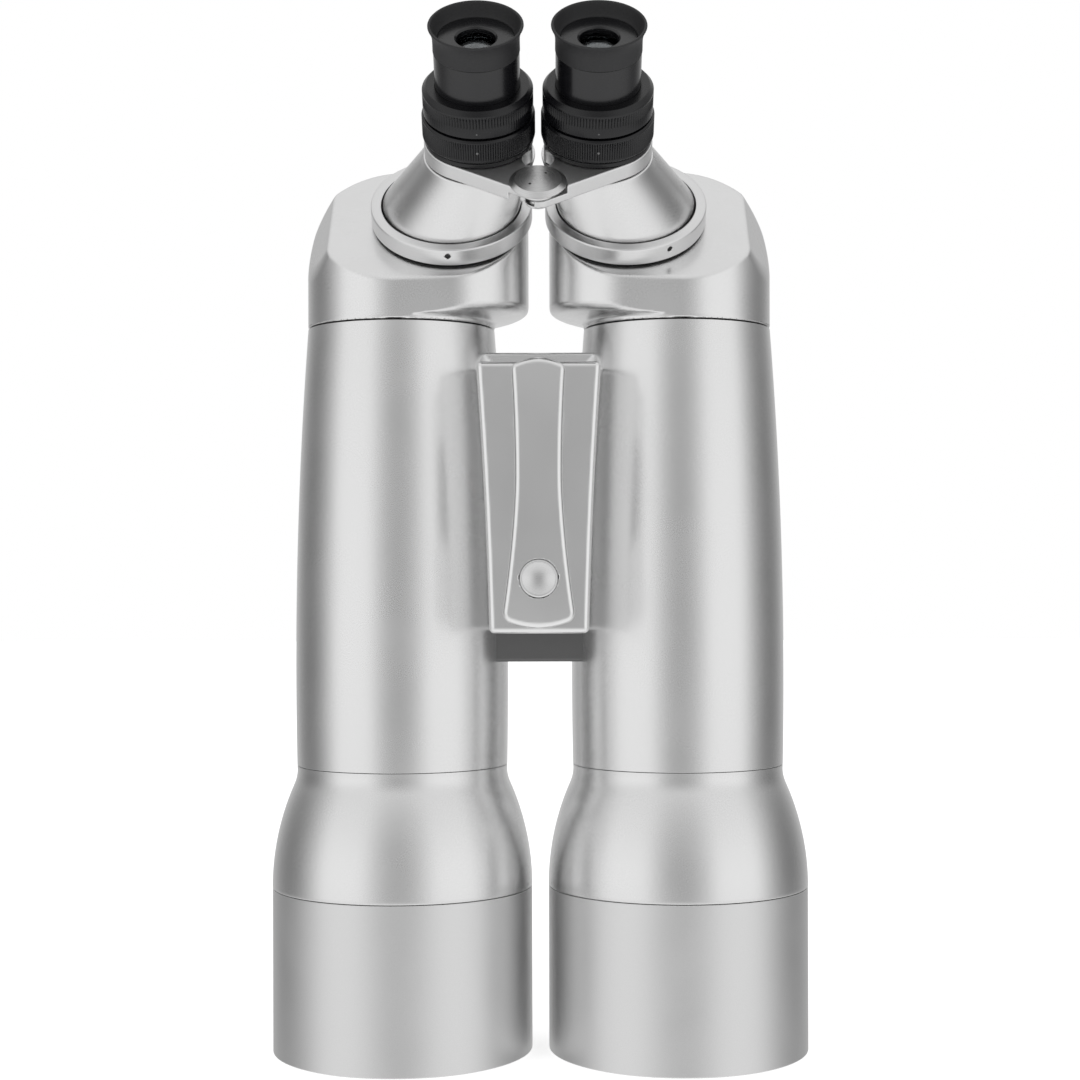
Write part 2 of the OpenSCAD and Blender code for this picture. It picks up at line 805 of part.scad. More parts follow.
module arm_left() { arm(left); }
module arm_right() { arm(right); }
module focus_ring_left() { focus_ring(left); }
module focus_ring_right() { focus_ring(right); }
module eyepiece_collar_left() { eyepiece_collar(left); }
module eyepiece_collar_right() { eyepiece_collar(right); }
module eyepiece_barrel_left() { eyepiece_barrel(left); }
module eyepiece_barrel_right() { eyepiece_barrel(right); }
module eyecup_left() { eyecup(left); }
module eyecup_right() { eyecup(right); }
module eye_lens_left() { eye_lens(left); }
module eye_lens_right() { eye_lens(right); }
module field_lens_left() { field_lens(left); }
module field_lens_right() { field_lens(right); }

tube_left();
tube_right();
bell_left();
bell_right();
objective_cell_left();
objective_cell_right();
crown_lens_left();
crown_lens_right();
flint_lens_left();
flint_lens_right();
lens_retainer_left();
lens_retainer_right();
lens_spacers();
tube_baffles();
prism_housing_left();
prism_housing_right();
prism_shelf_left();
prism_shelf_right();
offset_prism_left();
offset_prism_right();
roof_prism_left();
roof_prism_right();
turret_ring_left();
turret_ring_right();
turret_set_screws();
bridge();
front_block();
handle();
handle_cap();
handle_screws();
tripod_foot();
foot_screws();
thread_bush();
hood_left();
hood_right();
hood_felt_left();
hood_felt_right();
turret_cone_left();
turret_cone_right();
eyepiece_neck_left();
eyepiece_neck_right();
arm_left();
arm_right();
pivot_pin();
focus_ring_left();
focus_ring_right();
eyepiece_collar_left();
eyepiece_collar_right();
eyepiece_barrel_left();
eyepiece_barrel_right();
eyecup_left();
eyecup_right();
eye_lens_left();
eye_lens_right();
field_lens_left();
field_lens_right();
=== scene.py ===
"""Large 45 degree binoculars: the visible pieces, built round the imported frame.

Shapes are worked out in millimetres and turned into metres when a mesh is made. Turned pieces are
lathed from rounded profiles. Cast pieces are signed distance functions, meshed by surface nets.
"""

import json
import math
from collections import namedtuple

import bpy
import numpy as np
from mathutils import Matrix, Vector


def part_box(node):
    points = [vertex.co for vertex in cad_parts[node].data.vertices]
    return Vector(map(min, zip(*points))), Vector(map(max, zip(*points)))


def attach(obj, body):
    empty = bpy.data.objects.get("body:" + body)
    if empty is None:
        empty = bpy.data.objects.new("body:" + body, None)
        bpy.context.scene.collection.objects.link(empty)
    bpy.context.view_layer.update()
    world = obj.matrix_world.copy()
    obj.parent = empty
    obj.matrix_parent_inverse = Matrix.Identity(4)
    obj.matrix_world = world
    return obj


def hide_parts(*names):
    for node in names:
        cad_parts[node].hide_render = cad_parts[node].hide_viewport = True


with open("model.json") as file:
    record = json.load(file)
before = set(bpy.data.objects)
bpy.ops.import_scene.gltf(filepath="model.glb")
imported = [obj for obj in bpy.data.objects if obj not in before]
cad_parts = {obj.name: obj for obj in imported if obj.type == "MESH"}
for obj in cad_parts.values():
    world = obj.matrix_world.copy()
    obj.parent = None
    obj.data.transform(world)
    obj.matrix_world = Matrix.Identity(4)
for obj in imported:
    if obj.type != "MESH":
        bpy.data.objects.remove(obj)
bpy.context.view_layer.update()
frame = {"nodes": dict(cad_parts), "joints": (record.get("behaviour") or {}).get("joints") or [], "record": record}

MM = 0.001
LEFT = -1
RIGHT = 1
SIDES = {"left": LEFT, "right": RIGHT}
JOINTS = {joint["name"]: joint for joint in frame["joints"]}


# ---- Places taken from the frame ----

def node_box(name):
    """Lowest and highest corner of a CAD node, in millimetres."""
    low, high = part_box(name)
    return np.array(low) / MM, np.array(high) / MM


tube_low, tube_high = node_box("tube_right")
TUBE_X = (tube_low[0] + tube_high[0]) / 2
AXIS_Y = (tube_low[1] + tube_high[1]) / 2
TUBE_Z0 = tube_low[2]
TUBE_Z1 = tube_high[2]
TUBE_R_MAX = (tube_high[0] - tube_low[0]) / 2
TUBE_FAT_Z = 180.0
TUBE_SWELL_R = 2172.0
TUBE_SEAM = 0.45
TUBE_EDGE = 0.4
WALL = 3.2

slope_origin = np.array(JOINTS["turret_turn_right"]["pos_m"]) / MM
slope_normal = np.array(JOINTS["turret_turn_right"]["axis"])
arm_point = np.array(JOINTS["arm_swing_right"]["pos_m"]) / MM
TURRET_X = slope_origin[0]
SLOPE_Y = slope_origin[1] - AXIS_Y
SLOPE_Z = slope_origin[2]
EYE_OFFSET = TURRET_X - arm_point[0]
COS_45 = math.sqrt(0.5)


def tube_radius(z):
    """Outer radius of a tube at height z, a long shallow arc."""
    return TUBE_R_MAX - TUBE_SWELL_R + np.sqrt(TUBE_SWELL_R**2 - (z - TUBE_FAT_Z) ** 2)


def upright(side):
    """Places a shape drawn about the Z axis on a tube axis."""
    return Matrix.Translation((side * TUBE_X, AXIS_Y, 0))


def on_turret(side):
    """Places a shape drawn in slope coordinates (X across, Y up the slope, Z out of it) on a turret axis."""
    turn = Matrix.Rotation(math.radians(45), 4, "X")
    return Matrix.Translation((side * TURRET_X, AXIS_Y + SLOPE_Y, SLOPE_Z)) @ turn


def on_eyepiece(side):
    """Places a shape drawn in slope coordinates on an eyepiece axis."""
    return on_turret(side) @ Matrix.Translation((-side * EYE_OFFSET, 0, 0))


FACE_FORWARD = Matrix.Rotation(math.radians(90), 4, "X")


def on_slope():
    """Places a shape drawn in slope coordinates on the middle plane."""
    return on_turret(0)


# ---- Camera and light ----

def make_camera():
    """A level camera in front of the eyepieces, with a small upward shift."""
    data = bpy.data.cameras.new("camera")
    data.sensor_width = 36
    data.lens = 66.05
    data.shift_x = -0.0094
    data.shift_y = 0.0334
    data.clip_start = 0.01
    data.clip_end = 50
    camera = bpy.data.objects.new("camera", data)
    camera.location = (0.005, AXIS_Y * MM - 0.952, 0.226)
    camera.rotation_euler = (math.radians(90), math.radians(0.145), 0)
    bpy.context.scene.collection.objects.link(camera)
    bpy.context.scene.camera = camera


def node(tree, kind, **values):
    """Adds a shader node with its settings."""
    made = tree.nodes.new(kind)
    for name, value in values.items():
        setattr(made, name, value)
    return made


def math_node(tree, operation, a, b=None):
    """Adds a Math node. Each operand is a number or another node's output."""
    made = node(tree, "ShaderNodeMath", operation=operation)
    for socket, value in zip(made.inputs, (a, b)):
        if value is None:
            continue
        if isinstance(value, (int, float)):
            socket.default_value = value
        else:
            tree.links.new(value, socket)
    return made.outputs[0]


def ramp(tree, factor, stops):
    """A grey ramp through (position, value) stops."""
    made = node(tree, "ShaderNodeValToRGB")
    made.color_ramp.interpolation = "B_SPLINE"
    elements = made.color_ramp.elements
    while len(elements) < len(stops):
        elements.new(0.5)
    for element, (position, value) in zip(elements, stops):
        element.position = position
        element.color = (value, value, value, 1)
    tree.links.new(factor, made.inputs[0])
    return made.outputs[0]


def make_world():
    """Soft studio light: a wide soft box at each side of the camera, and darker elsewhere."""
    world = bpy.data.worlds.new("studio")
    bpy.context.scene.world = world
    world.use_nodes = True
    tree = world.node_tree
    tree.nodes.clear()
    output = node(tree, "ShaderNodeOutputWorld")
    direction = node(tree, "ShaderNodeTexCoord").outputs["Generated"]
    parts = node(tree, "ShaderNodeSeparateXYZ")
    tree.links.new(direction, parts.inputs[0])
    x, y, z = parts.outputs
    backward = math_node(tree, "MULTIPLY", y, -1.0)
    azimuth = math_node(tree, "ARCTAN2", x, backward)
    share = math_node(tree, "DIVIDE", math_node(tree, "ABSOLUTE", azimuth), math.pi)
    round_about = ramp(tree, share, [
        (0.0, 0.42), (0.06, 0.45), (0.13, 0.74), (0.20, 1.12), (0.28, 1.30), (0.36, 1.16), (0.43, 0.76),
        (0.50, 0.42), (0.58, 0.20), (0.68, 0.19), (0.78, 0.40), (0.88, 0.62), (1.0, 0.75),
    ])
    height = math_node(tree, "MULTIPLY_ADD", z, 0.5)
    height.node.inputs[2].default_value = 0.5
    up_down = ramp(tree, height, [
        (0.0, 1.0), (0.15, 0.95), (0.30, 0.85), (0.42, 0.52), (0.62, 0.62), (0.80, 0.78), (1.0, 0.86),
    ])
    near_horizon = ramp(tree, height, [
        (0.0, 0.0), (0.25, 0.1), (0.40, 1.0), (0.54, 1.0), (0.66, 0.85), (0.84, 0.1), (1.0, 0.0),
    ])
    mix = node(tree, "ShaderNodeMix", data_type="RGBA")
    tree.links.new(near_horizon, mix.inputs[0])
    tree.links.new(up_down, mix.inputs[6])
    tree.links.new(round_about, mix.inputs[7])
    light = node(tree, "ShaderNodeBackground")
    tree.links.new(mix.outputs[2], light.inputs[0])
    light.inputs[1].default_value = 1.0
    backdrop = node(tree, "ShaderNodeBackground")
    backdrop.inputs[0].default_value = (1, 1, 1, 1)
    backdrop.inputs[1].default_value = 1.0
    seen = node(tree, "ShaderNodeLightPath")
    choice = node(tree, "ShaderNodeMixShader")
    tree.links.new(seen.outputs["Is Camera Ray"], choice.inputs[0])
    tree.links.new(light.outputs[0], choice.inputs[1])
    tree.links.new(backdrop.outputs[0], choice.inputs[2])
    tree.links.new(choice.outputs[0], output.inputs[0])
    set_plain_view()


def set_plain_view():
    """Shows the colours as they are, with no film look."""
    view = bpy.context.scene.view_settings
    view.view_transform = "Standard"
    view.look = "None"
    view.exposure = 0
    view.gamma = 1


# ---- Materials ----

def new_material(name, **inputs):
    """A Principled material with its uniform values set on the shader itself."""
    material = bpy.data.materials.new(name)
    material.use_nodes = True
    shader = material.node_tree.nodes["Principled BSDF"]
    for socket, value in inputs.items():
        shader.inputs[socket.replace("_", " ")].default_value = value
    return material, material.node_tree, shader


def grain(tree, scale, detail=2.0, vector=None):
    """Noise in the piece's own space, with features about 1 / scale metres across."""
    noise = node(tree, "ShaderNodeTexNoise")
    noise.inputs["Scale"].default_value = scale
    noise.inputs["Detail"].default_value = detail
    noise.inputs["Roughness"].default_value = 0.5
    if vector is None:
        vector = node(tree, "ShaderNodeTexCoord").outputs["Object"]
    tree.links.new(vector, noise.inputs["Vector"])
    return noise.outputs["Fac"]


def map_range(tree, value, low, high, from_low=0.3, from_high=0.7):
    """Carries value from one range to another."""
    made = node(tree, "ShaderNodeMapRange")
    made.inputs["From Min"].default_value = from_low
    made.inputs["From Max"].default_value = from_high
    made.inputs["To Min"].default_value = low
    made.inputs["To Max"].default_value = high
    tree.links.new(value, made.inputs["Value"])
    return made.outputs["Result"]


def two_tones(tree, factor, dark, light, low=0.3, high=0.7):
    """A colour that goes from dark to light as factor goes from low to high."""
    made = node(tree, "ShaderNodeValToRGB")
    first, last = made.color_ramp.elements
    first.position, last.position = low, high
    first.color = (*dark, 1)
    last.color = (*light, 1)
    tree.links.new(factor, made.inputs[0])
    return made.outputs[0]


def add_bump(tree, shader, height, strength, distance):
    """Fine relief that is too small for geometry."""
    bump = node(tree, "ShaderNodeBump")
    bump.inputs["Strength"].default_value = strength
    bump.inputs["Distance"].default_value = distance
    tree.links.new(height, bump.inputs["Height"])
    tree.links.new(bump.outputs[0], shader.inputs["Normal"])


def add_sum(tree, a, b, share):
    """a + share * b"""
    made = math_node(tree, "MULTIPLY_ADD", b, share)
    tree.links.new(a, made.node.inputs[2])
    return made


def enamel(name, grey, rough, flake=0.05):
    """Silver metallic enamel: fine flakes, a faint orange peel and slightly uneven gloss."""
    material, tree, shader = new_material(
        name, Metallic=1.0, Coat_Weight=0.18, Coat_Roughness=0.16, Coat_IOR=1.45
    )
    flakes = grain(tree, 5200, 1.0)
    cloud = grain(tree, 28, 2.0)
    tone = add_sum(tree, flakes, cloud, 0.35)
    light = [grey * (1 + flake)] * 3
    dark = [grey * (1 - flake)] * 3
    tree.links.new(two_tones(tree, tone, dark, light, 0.42, 0.92), shader.inputs["Base Color"])
    tree.links.new(
        map_range(tree, add_sum(tree, cloud, flakes, 0.5), rough - 0.03, rough + 0.03, 0.5, 1.0),
        shader.inputs["Roughness"],
    )
    peel = add_sum(tree, grain(tree, 420, 1.0), grain(tree, 3600, 1.0), 0.25)
    add_bump(tree, shader, peel, 0.05, 0.0004)
    return material


def brushed_lit_top(side_grey, lit_top_grey, rough):
    """Bright milled sides, and a brushed face where a piece looks out of the slope, its grey raised a little as
    painted light.
    """
    material, tree, shader = new_material("arm_silver", Metallic=1.0)
    facing = node(tree, "ShaderNodeVectorMath", operation="DOT_PRODUCT")
    tree.links.new(node(tree, "ShaderNodeTexCoord").outputs["Normal"], facing.inputs[0])
    facing.inputs[1].default_value = slope_normal
    fine = grain(tree, 3000, 2.0)
    # The face looking out of the slope is brushed, and its lighter grey is painted light
    face = two_tones(tree, fine, [lit_top_grey * 0.96] * 3, [lit_top_grey * 1.04] * 3)
    edge = two_tones(tree, fine, [side_grey * 0.97] * 3, [side_grey * 1.03] * 3)
    mix = node(tree, "ShaderNodeMix", data_type="RGBA")
    tree.links.new(map_range(tree, facing.outputs["Value"], 0.0, 1.0, 0.90, 0.99), mix.inputs[0])
    tree.links.new(edge, mix.inputs[6])
    tree.links.new(face, mix.inputs[7])
    tree.links.new(mix.outputs[2], shader.inputs["Base Color"])
    tree.links.new(map_range(tree, fine, rough - 0.03, rough + 0.03), shader.inputs["Roughness"])
    add_bump(tree, shader, fine, 0.04, 0.0002)
    return material


def turned(name, grey, rough, place, line_scale=4200, strength=0.05):
    """Turned metal: fine rings about the Z axis of place, cut by the tool."""
    material, tree, shader = new_material(name, Metallic=1.0)
    inverse = place.inverted()
    mapping = node(tree, "ShaderNodeMapping")
    mapping.inputs["Location"].default_value = inverse.translation * MM
    mapping.inputs["Rotation"].default_value = inverse.to_euler()
    tree.links.new(node(tree, "ShaderNodeTexCoord").outputs["Object"], mapping.inputs["Vector"])
    parts = node(tree, "ShaderNodeSeparateXYZ")
    tree.links.new(mapping.outputs[0], parts.inputs[0])
    x, y, z = parts.outputs
    x_squared = math_node(tree, "MULTIPLY", x, x)
    y_squared = math_node(tree, "MULTIPLY", y, y)
    radius = math_node(tree, "SQRT", math_node(tree, "ADD", x_squared, y_squared))
    lathe_place = node(tree, "ShaderNodeCombineXYZ")
    tree.links.new(radius, lathe_place.inputs[0])
    tree.links.new(z, lathe_place.inputs[1])
    rings = grain(tree, line_scale, 1.0, lathe_place.outputs[0])
    wide = grain(tree, 60, 2.0)
    light = [grey * 1.03] * 3
    dark = [grey * 0.96] * 3
    tone = add_sum(tree, rings, wide, 0.4)
    tree.links.new(two_tones(tree, tone, dark, light, 0.45, 0.95), shader.inputs["Base Color"])
    tree.links.new(map_range(tree, tone, rough - 0.02, rough + 0.03, 0.45, 0.95), shader.inputs["Roughness"])
    add_bump(tree, shader, rings, strength, 0.0002)
    return material


def plain_finish(name, dark, light, rough, scale, bump, **inputs):
    """A matt or satin finish with fine grain: black paint, anodising, felt, steel or brass."""
    material, tree, shader = new_material(name, **inputs)
    fine = grain(tree, scale, 3.0)
    wide = grain(tree, 45, 2.0)
    tone = add_sum(tree, fine, wide, 0.5)
    tree.links.new(two_tones(tree, tone, dark, light, 0.5, 1.0), shader.inputs["Base Color"])
    tree.links.new(map_range(tree, tone, rough - 0.06, rough + 0.06, 0.5, 1.0), shader.inputs["Roughness"])
    add_bump(tree, shader, fine, bump, 0.0003)
    return material


def coated_glass(name, tint, coat_tint):
    """Optical glass with a coloured anti-reflection coat."""
    material, tree, shader = new_material(
        name, Transmission_Weight=1.0, IOR=1.52, Coat_Weight=0.6, Coat_Roughness=0.01
    )
    cloud = grain(tree, 35, 1.0)
    tree.links.new(two_tones(tree, cloud, [c * 0.96 for c in tint], tint), shader.inputs["Base Color"])
    tree.links.new(map_range(tree, cloud, 0.005, 0.02), shader.inputs["Roughness"])
    shader.inputs["Coat Tint"].default_value = (*coat_tint, 1)
    return material


# ---- Mesh making ----

def link_mesh(name, vertices, faces, normals, place=None):
    """Makes an object from millimetre vertices, faces of three or four corners and vertex normals."""
    vertices = np.asarray(vertices, float)
    normals = np.asarray(normals, float)
    if place is not None:
        matrix = np.array(place)
        vertices = vertices @ matrix[:3, :3].T + matrix[:3, 3]
        normals = normals @ matrix[:3, :3].T
    mesh = bpy.data.meshes.new(name)
    mesh.from_pydata((vertices * MM).tolist(), [], [list(face) for face in faces])
    mesh.shade_smooth()
    length = np.linalg.norm(normals, axis=1, keepdims=True)
    mesh.normals_split_custom_set_from_vertices((normals / np.maximum(length, 1e-9)).tolist())
    made = bpy.data.objects.new(name, mesh)
    bpy.context.scene.collection.objects.link(made)
    return made


def rounded(points, steps=5):
    """Rounds a closed profile. Each point is (radius, height) or (radius, height, corner radius)."""
    count = len(points)
    result = []
    for i, point in enumerate(points):
        here = np.array(point[:2], float)
        corner = point[2] if len(point) > 2 else 0.0
        before = np.array(points[i - 1][:2], float) - here
        after = np.array(points[(i + 1) % count][:2], float) - here
        before_length, after_length = np.linalg.norm(before), np.linalg.norm(after)
        if corner <= 0 or before_length < 1e-6 or after_length < 1e-6:
            result.append(here)
            continue
        before, after = before / before_length, after / after_length
        half = math.acos(max(-1.0, min(1.0, float(before @ after)))) / 2
        reach = min(corner / math.tan(half), before_length * 0.48, after_length * 0.48)
        radius = reach * math.tan(half)
        middle = here + (before + after) / np.linalg.norm(before + after) * radius / math.sin(half)
        start = here + before * reach - middle
        end = here + after * reach - middle
        sweep = math.atan2(start[0] * end[1] - start[1] * end[0], float(start @ end))
        for k in range(steps + 1):
            angle = sweep * k / steps
            turn = np.array([[math.cos(angle), -math.sin(angle)], [math.sin(angle), math.cos(angle)]])
            result.append(middle + turn @ start)
    return result


def profile_normals(profile):
    """Outward normals of a closed profile that runs with its inside on the left, weighted by length."""
    count = len(profile)
    segments = [profile[(i + 1) % count] - profile[i] for i in range(count)]
    normals = []
    for i in range(count):
        total = np.zeros(2)
        for segment in (segments[i - 1], segments[i]):
            total += np.array([segment[1], -segment[0]]) * np.linalg.norm(segment)
        normals.append(total / max(np.linalg.norm(total), 1e-9))
    return normals


Knurl = namedtuple("Knurl", "low high teeth depth least_radius")


def lathe(name, points, place, segments=160, knurl=None, lean=None):
    """Turns a closed profile of (radius, height) points about Z.

    knurl is a Knurl, a band of straight teeth, and lean gives the axis offset at a height.
    """
    profile = rounded(points)
    area = sum(a[0] * b[1] - b[0] * a[1] for a, b in zip(profile, profile[1:] + profile[:1]))
    if area < 0:
        profile = profile[::-1]
    if knurl:
        profile = add_knurl_rows(profile, knurl)
        segments = knurl.teeth * 6
    normals = profile_normals(profile)
    angles = np.arange(segments) * 2 * math.pi / segments
    vertices, vertex_normals, rings = [], [], []
    for (radius, height), (normal_r, normal_z) in zip(profile, normals):
        if radius < 1e-6:
            rings.append([len(vertices)])
            vertices.append((lean(height) if lean else 0.0, 0.0, height))
            vertex_normals.append((0, 0, 1 if normal_z >= 0 else -1))
            continue
        rings.append(list(range(len(vertices), len(vertices) + segments)))
        for angle in angles:
            reach = radius - (knurl_cut(knurl, radius, height, angle) if knurl else 0.0)
            offset = lean(height) if lean else 0.0
            vertices.append((reach * math.cos(angle) + offset, reach * math.sin(angle), height))
            vertex_normals.append((normal_r * math.cos(angle), normal_r * math.sin(angle), normal_z))
    faces = []
    for i, ring in enumerate(rings):
        after = rings[(i + 1) % len(rings)]
        for k in range(segments):
            m = (k + 1) % segments
            if len(ring) == 1 and len(after) == 1:
                break
            if len(ring) == 1:
                faces.append((ring[0], after[m], after[k]))
            elif len(after) == 1:
                faces.append((ring[k], ring[m], after[0]))
            else:
                faces.append((ring[k], ring[m], after[m], after[k]))
    made = link_mesh(name, vertices, faces, vertex_normals, place)
    if knurl:
        reset_normals(made, 40)
    return made


def reset_normals(made, degrees):
    """Drops the custom normals and keeps edges sharper than the angle crisp."""
    mesh = made.data
    attribute = mesh.attributes.get("custom_normal")
    if attribute:
        mesh.attributes.remove(attribute)
    mesh.set_sharp_from_angle(angle=math.radians(degrees))


def add_knurl_rows(profile, knurl):
    """Adds profile points at the ends of the knurled band, so that the teeth end cleanly."""
    ease = 0.35
    result = []
    count = len(profile)
    for i in range(count):
        a, b = profile[i], profile[(i + 1) % count]
        result.append(a)
        if abs(a[0] - b[0]) > 0.05 or abs(b[1] - a[1]) < 1.0 or a[0] < knurl.least_radius:
            continue
        cuts = [knurl.low, knurl.low + ease, knurl.high - ease, knurl.high]
        if b[1] < a[1]:
            cuts = cuts[::-1]
        for z in cuts:
            if min(a[1], b[1]) + 0.02 < z < max(a[1], b[1]) - 0.02:
                t = (z - a[1]) / (b[1] - a[1])
                result.append(a + (b - a) * t)
    return result


def knurl_cut(knurl, radius, height, angle):
    """Depth of the knurl at a point: rounded V grooves, eased in over the band's ends."""
    if radius < knurl.least_radius or height < knurl.low + 0.01 or height > knurl.high - 0.01:
        return 0.0
    ease = min(1.0, (height - knurl.low) / 0.3, (knurl.high - height) / 0.3)
    phase = (angle * knurl.teeth / (2 * math.pi)) % 1.0
    return knurl.depth * ease * (1 - abs(2 * phase - 1)) ** 1.4


def surface_net(distance, low, high, step):
    """Quads on the zero surface of a distance function, by naive surface nets."""
    axes = [np.arange(low[a] - 2 * step, high[a] + 2.5 * step, step) for a in range(3)]
    grid = np.meshgrid(*axes, indexing="ij")
    values = distance(*grid)
    inside = values < 0
    shape = np.array(values.shape)
    cells = shape - 1
    stride = np.array([cells[1] * cells[2], cells[2], 1])
    total = np.zeros((int(np.prod(cells)), 3))
    count = np.zeros(int(np.prod(cells)))
    crossings = []
    for axis in range(3):
        first = tuple(slice(None, -1) if a == axis else slice(None) for a in range(3))
        second = tuple(slice(1, None) if a == axis else slice(None) for a in range(3))
        index = np.argwhere(inside[first] != inside[second])
        others = [a for a in range(3) if a != axis]
        kept = np.all((index[:, others] > 0) & (index[:, others] < shape[others] - 1), axis=1)
        index = index[kept]
        start = values[first][tuple(index.T)]
        end = values[second][tuple(index.T)]
        place = index.astype(float)
        place[:, axis] += start / (start - end)
        around = []
        for u, v in ((-1, -1), (0, -1), (0, 0), (-1, 0)):
            cell = index.copy()
            cell[:, others[0]] += u
            cell[:, others[1]] += v
            flat = cell @ stride
            around.append(flat)
            count += np.bincount(flat, minlength=len(count))
            for a in range(3):
                total[:, a] += np.bincount(flat, weights=place[:, a], minlength=len(count))
        quads = np.stack(around, axis=1)
        turned_round = (start < 0) != (axis == 1)
        quads[~turned_round] = quads[~turned_round][:, ::-1]
        crossings.append(quads)
    used = count > 0
    number = np.cumsum(used) - 1
    vertices = total[used] / count[used][:, None] * step + np.array([a[0] for a in axes])
    return vertices, number[np.concatenate(crossings)]


def gradient(distance, points, reach=0.03):
    """Slope of a distance function at each point, by central differences."""
    slope = np.empty_like(points)
    for axis in range(3):
        ahead, behind = points.copy(), points.copy()
        ahead[:, axis] += reach
        behind[:, axis] -= reach
        slope[:, axis] = (distance(*ahead.T) - distance(*behind.T)) / (2 * reach)
    return slope


def cast(distance, low, high, step=0.9):
    """Vertices, quads and normals of a distance function's surface, pulled onto it exactly."""
    vertices, quads = surface_net(distance, low, high, step)
    for _ in range(3):
        slope = gradient(distance, vertices)
        size = np.maximum((slope**2).sum(1), 0.2)
        move = slope * (distance(*vertices.T) / size)[:, None]
        vertices -= np.clip(move, -step / 2, step / 2)
    return vertices, quads, gradient(distance, vertices, 0.05)


def cast_mesh(name, shape, place=None, mirrored=False):
    """Makes an object of a cast shape, or of its mirror image in the middle plane."""
    vertices, quads, normals = shape
    if mirrored:
        vertices = vertices * [-1, 1, 1]
        normals = normals * [-1, 1, 1]
        quads = quads[:, ::-1]
    return link_mesh(name, vertices, quads, normals, place)


# ---- Distance functions ----

def both(a, b, radius=0.0):
    """Intersection with a convex edge rounded to radius."""
    flat = np.minimum(np.maximum(a, b), -radius)
    return flat + np.hypot(np.maximum(a + radius, 0), np.maximum(b + radius, 0))


def either(a, b, radius=0.0):
    """Union with a concave corner filled to radius."""
    return -both(-a, -b, radius)


def without(a, b, radius=0.0):
    """a with b cut out of it."""
    return both(a, -b, radius)


def cylinder(x, y, centre_x, centre_y, radius):
    """An endless cylinder along the third axis."""
    return np.hypot(x - centre_x, y - centre_y) - radius


def slab(value, low, high):
    """Everything from low to high along one axis."""
    return np.maximum(low - value, value - high)


def tubes_distance(x, y, z, extra=0.0):
    """Distance to both tubes, drawn with the tube axes at y = 0."""
    return np.hypot(np.abs(x) - TUBE_X, y) - tube_radius(z) - extra


# ---- Putting pieces in ----

MATERIALS = {}


def stand_for(piece, name, material):
    """piece takes the place of the CAD node of that name, in its body."""
    bodies = frame["record"]["behaviour"]["bodies"]
    body = next(body for body, members in bodies.items() if name in members)
    piece.data.materials.append(MATERIALS[material])
    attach(piece, body)
    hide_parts(name)
    return piece


def add_detail(piece, body, material):
    """piece is an extra detail that rides on a body."""
    piece.data.materials.append(MATERIALS[material])
    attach(piece, body)


def lathed(name, points, place, material, **options):
    """A turned piece that stands for the CAD node of that name."""
    piece = lathe(name + "_turned", points, place, **options)
    return stand_for(piece, name, material)


# ---- Tubes, bells and hoods ----

BELL_ARC_R = 121.0
BELL_TURN_Z = 127.0
BELL_STEP_Z = 92.2
BELL_SPIGOT = 8.0
HOOD_WALL = 2.8
hood_low, hood_high = node_box("hood_right")
HOOD_R = (hood_high[0] - hood_low[0]) / 2
HOOD_L = hood_high[2]
BELL_Z0 = node_box("bell_right")[0][2]


def bell_radius(z):
    """A long convex arc, then a short concave run into the tube."""
    def arc(at):
        return HOOD_R + 0.1 - BELL_ARC_R + math.sqrt(BELL_ARC_R**2 - (at - BELL_Z0) ** 2)

    if z < BELL_TURN_Z:
        return arc(z)
    t = z - BELL_TURN_Z
    span = TUBE_Z0 - BELL_TURN_Z
    start = arc(BELL_TURN_Z)
    slope = -(BELL_TURN_Z - BELL_Z0) / (BELL_ARC_R - (HOOD_R + 0.1) + start)
    end = tube_radius(TUBE_Z0)
    bend = (end - start - slope * span) / span**2
    return start + slope * t + bend * t * t


def make_tube(side_name, side):
    """A barrelled tube whose ends are eased, so that each joint shows as a fine line."""
    heights = np.linspace(TUBE_Z0 + TUBE_SEAM, TUBE_Z1 - TUBE_SEAM, 40)
    bottom, bottom_r = TUBE_Z0 + 0.05, tube_radius(TUBE_Z0)
    top, top_r = TUBE_Z1 - 0.25, tube_radius(TUBE_Z1)
    outer = [(tube_radius(z), z) for z in heights]
    inner = [(tube_radius(z) - WALL, z) for z in heights[::-1][::3]]
    points = (
        [(bottom_r - TUBE_EDGE, bottom)] + outer
        + [(top_r - TUBE_EDGE, top), (top_r - WALL, top)]
        + inner + [(bottom_r - WALL, bottom)]
    )
    lathed("tube_" + side_name, points, upright(side), "enamel", segments=224)


def make_bell(side_name, side):
    """The flared casting, bored for the objective cell, with a spigot that goes up into the tube."""
    cell_low, cell_high = node_box("objective_cell_right")
    bore_r = (cell_high[0] - cell_low[0]) / 2 + 0.05
    narrow_r = bore_r - 2.5
    heights = np.linspace(BELL_Z0 + 0.6, TUBE_Z0 - 0.15, 44)
    spigot_r = tube_radius(TUBE_Z0) - WALL - 0.1
    spigot_top = TUBE_Z0 + BELL_SPIGOT
    points = (
        [(bore_r, BELL_Z0, 0.3), (bell_radius(BELL_Z0) - 0.55, BELL_Z0, 0.3)]
        + [(bell_radius(z), z) for z in heights]
        + [(bell_radius(TUBE_Z0) - 0.3, TUBE_Z0 - 0.02), (spigot_r, TUBE_Z0 - 0.02)]
        + [(spigot_r, spigot_top, 0.3), (spigot_r - 2.6, spigot_top, 0.3)]
        + [(min(bell_radius(z) - WALL, narrow_r), z) for z in np.linspace(TUBE_Z0, 96, 12)]
        + [(narrow_r, BELL_STEP_Z), (bore_r, BELL_STEP_Z)]
    )
    lathed("bell_" + side_name, points, upright(side), "enamel", segments=224)


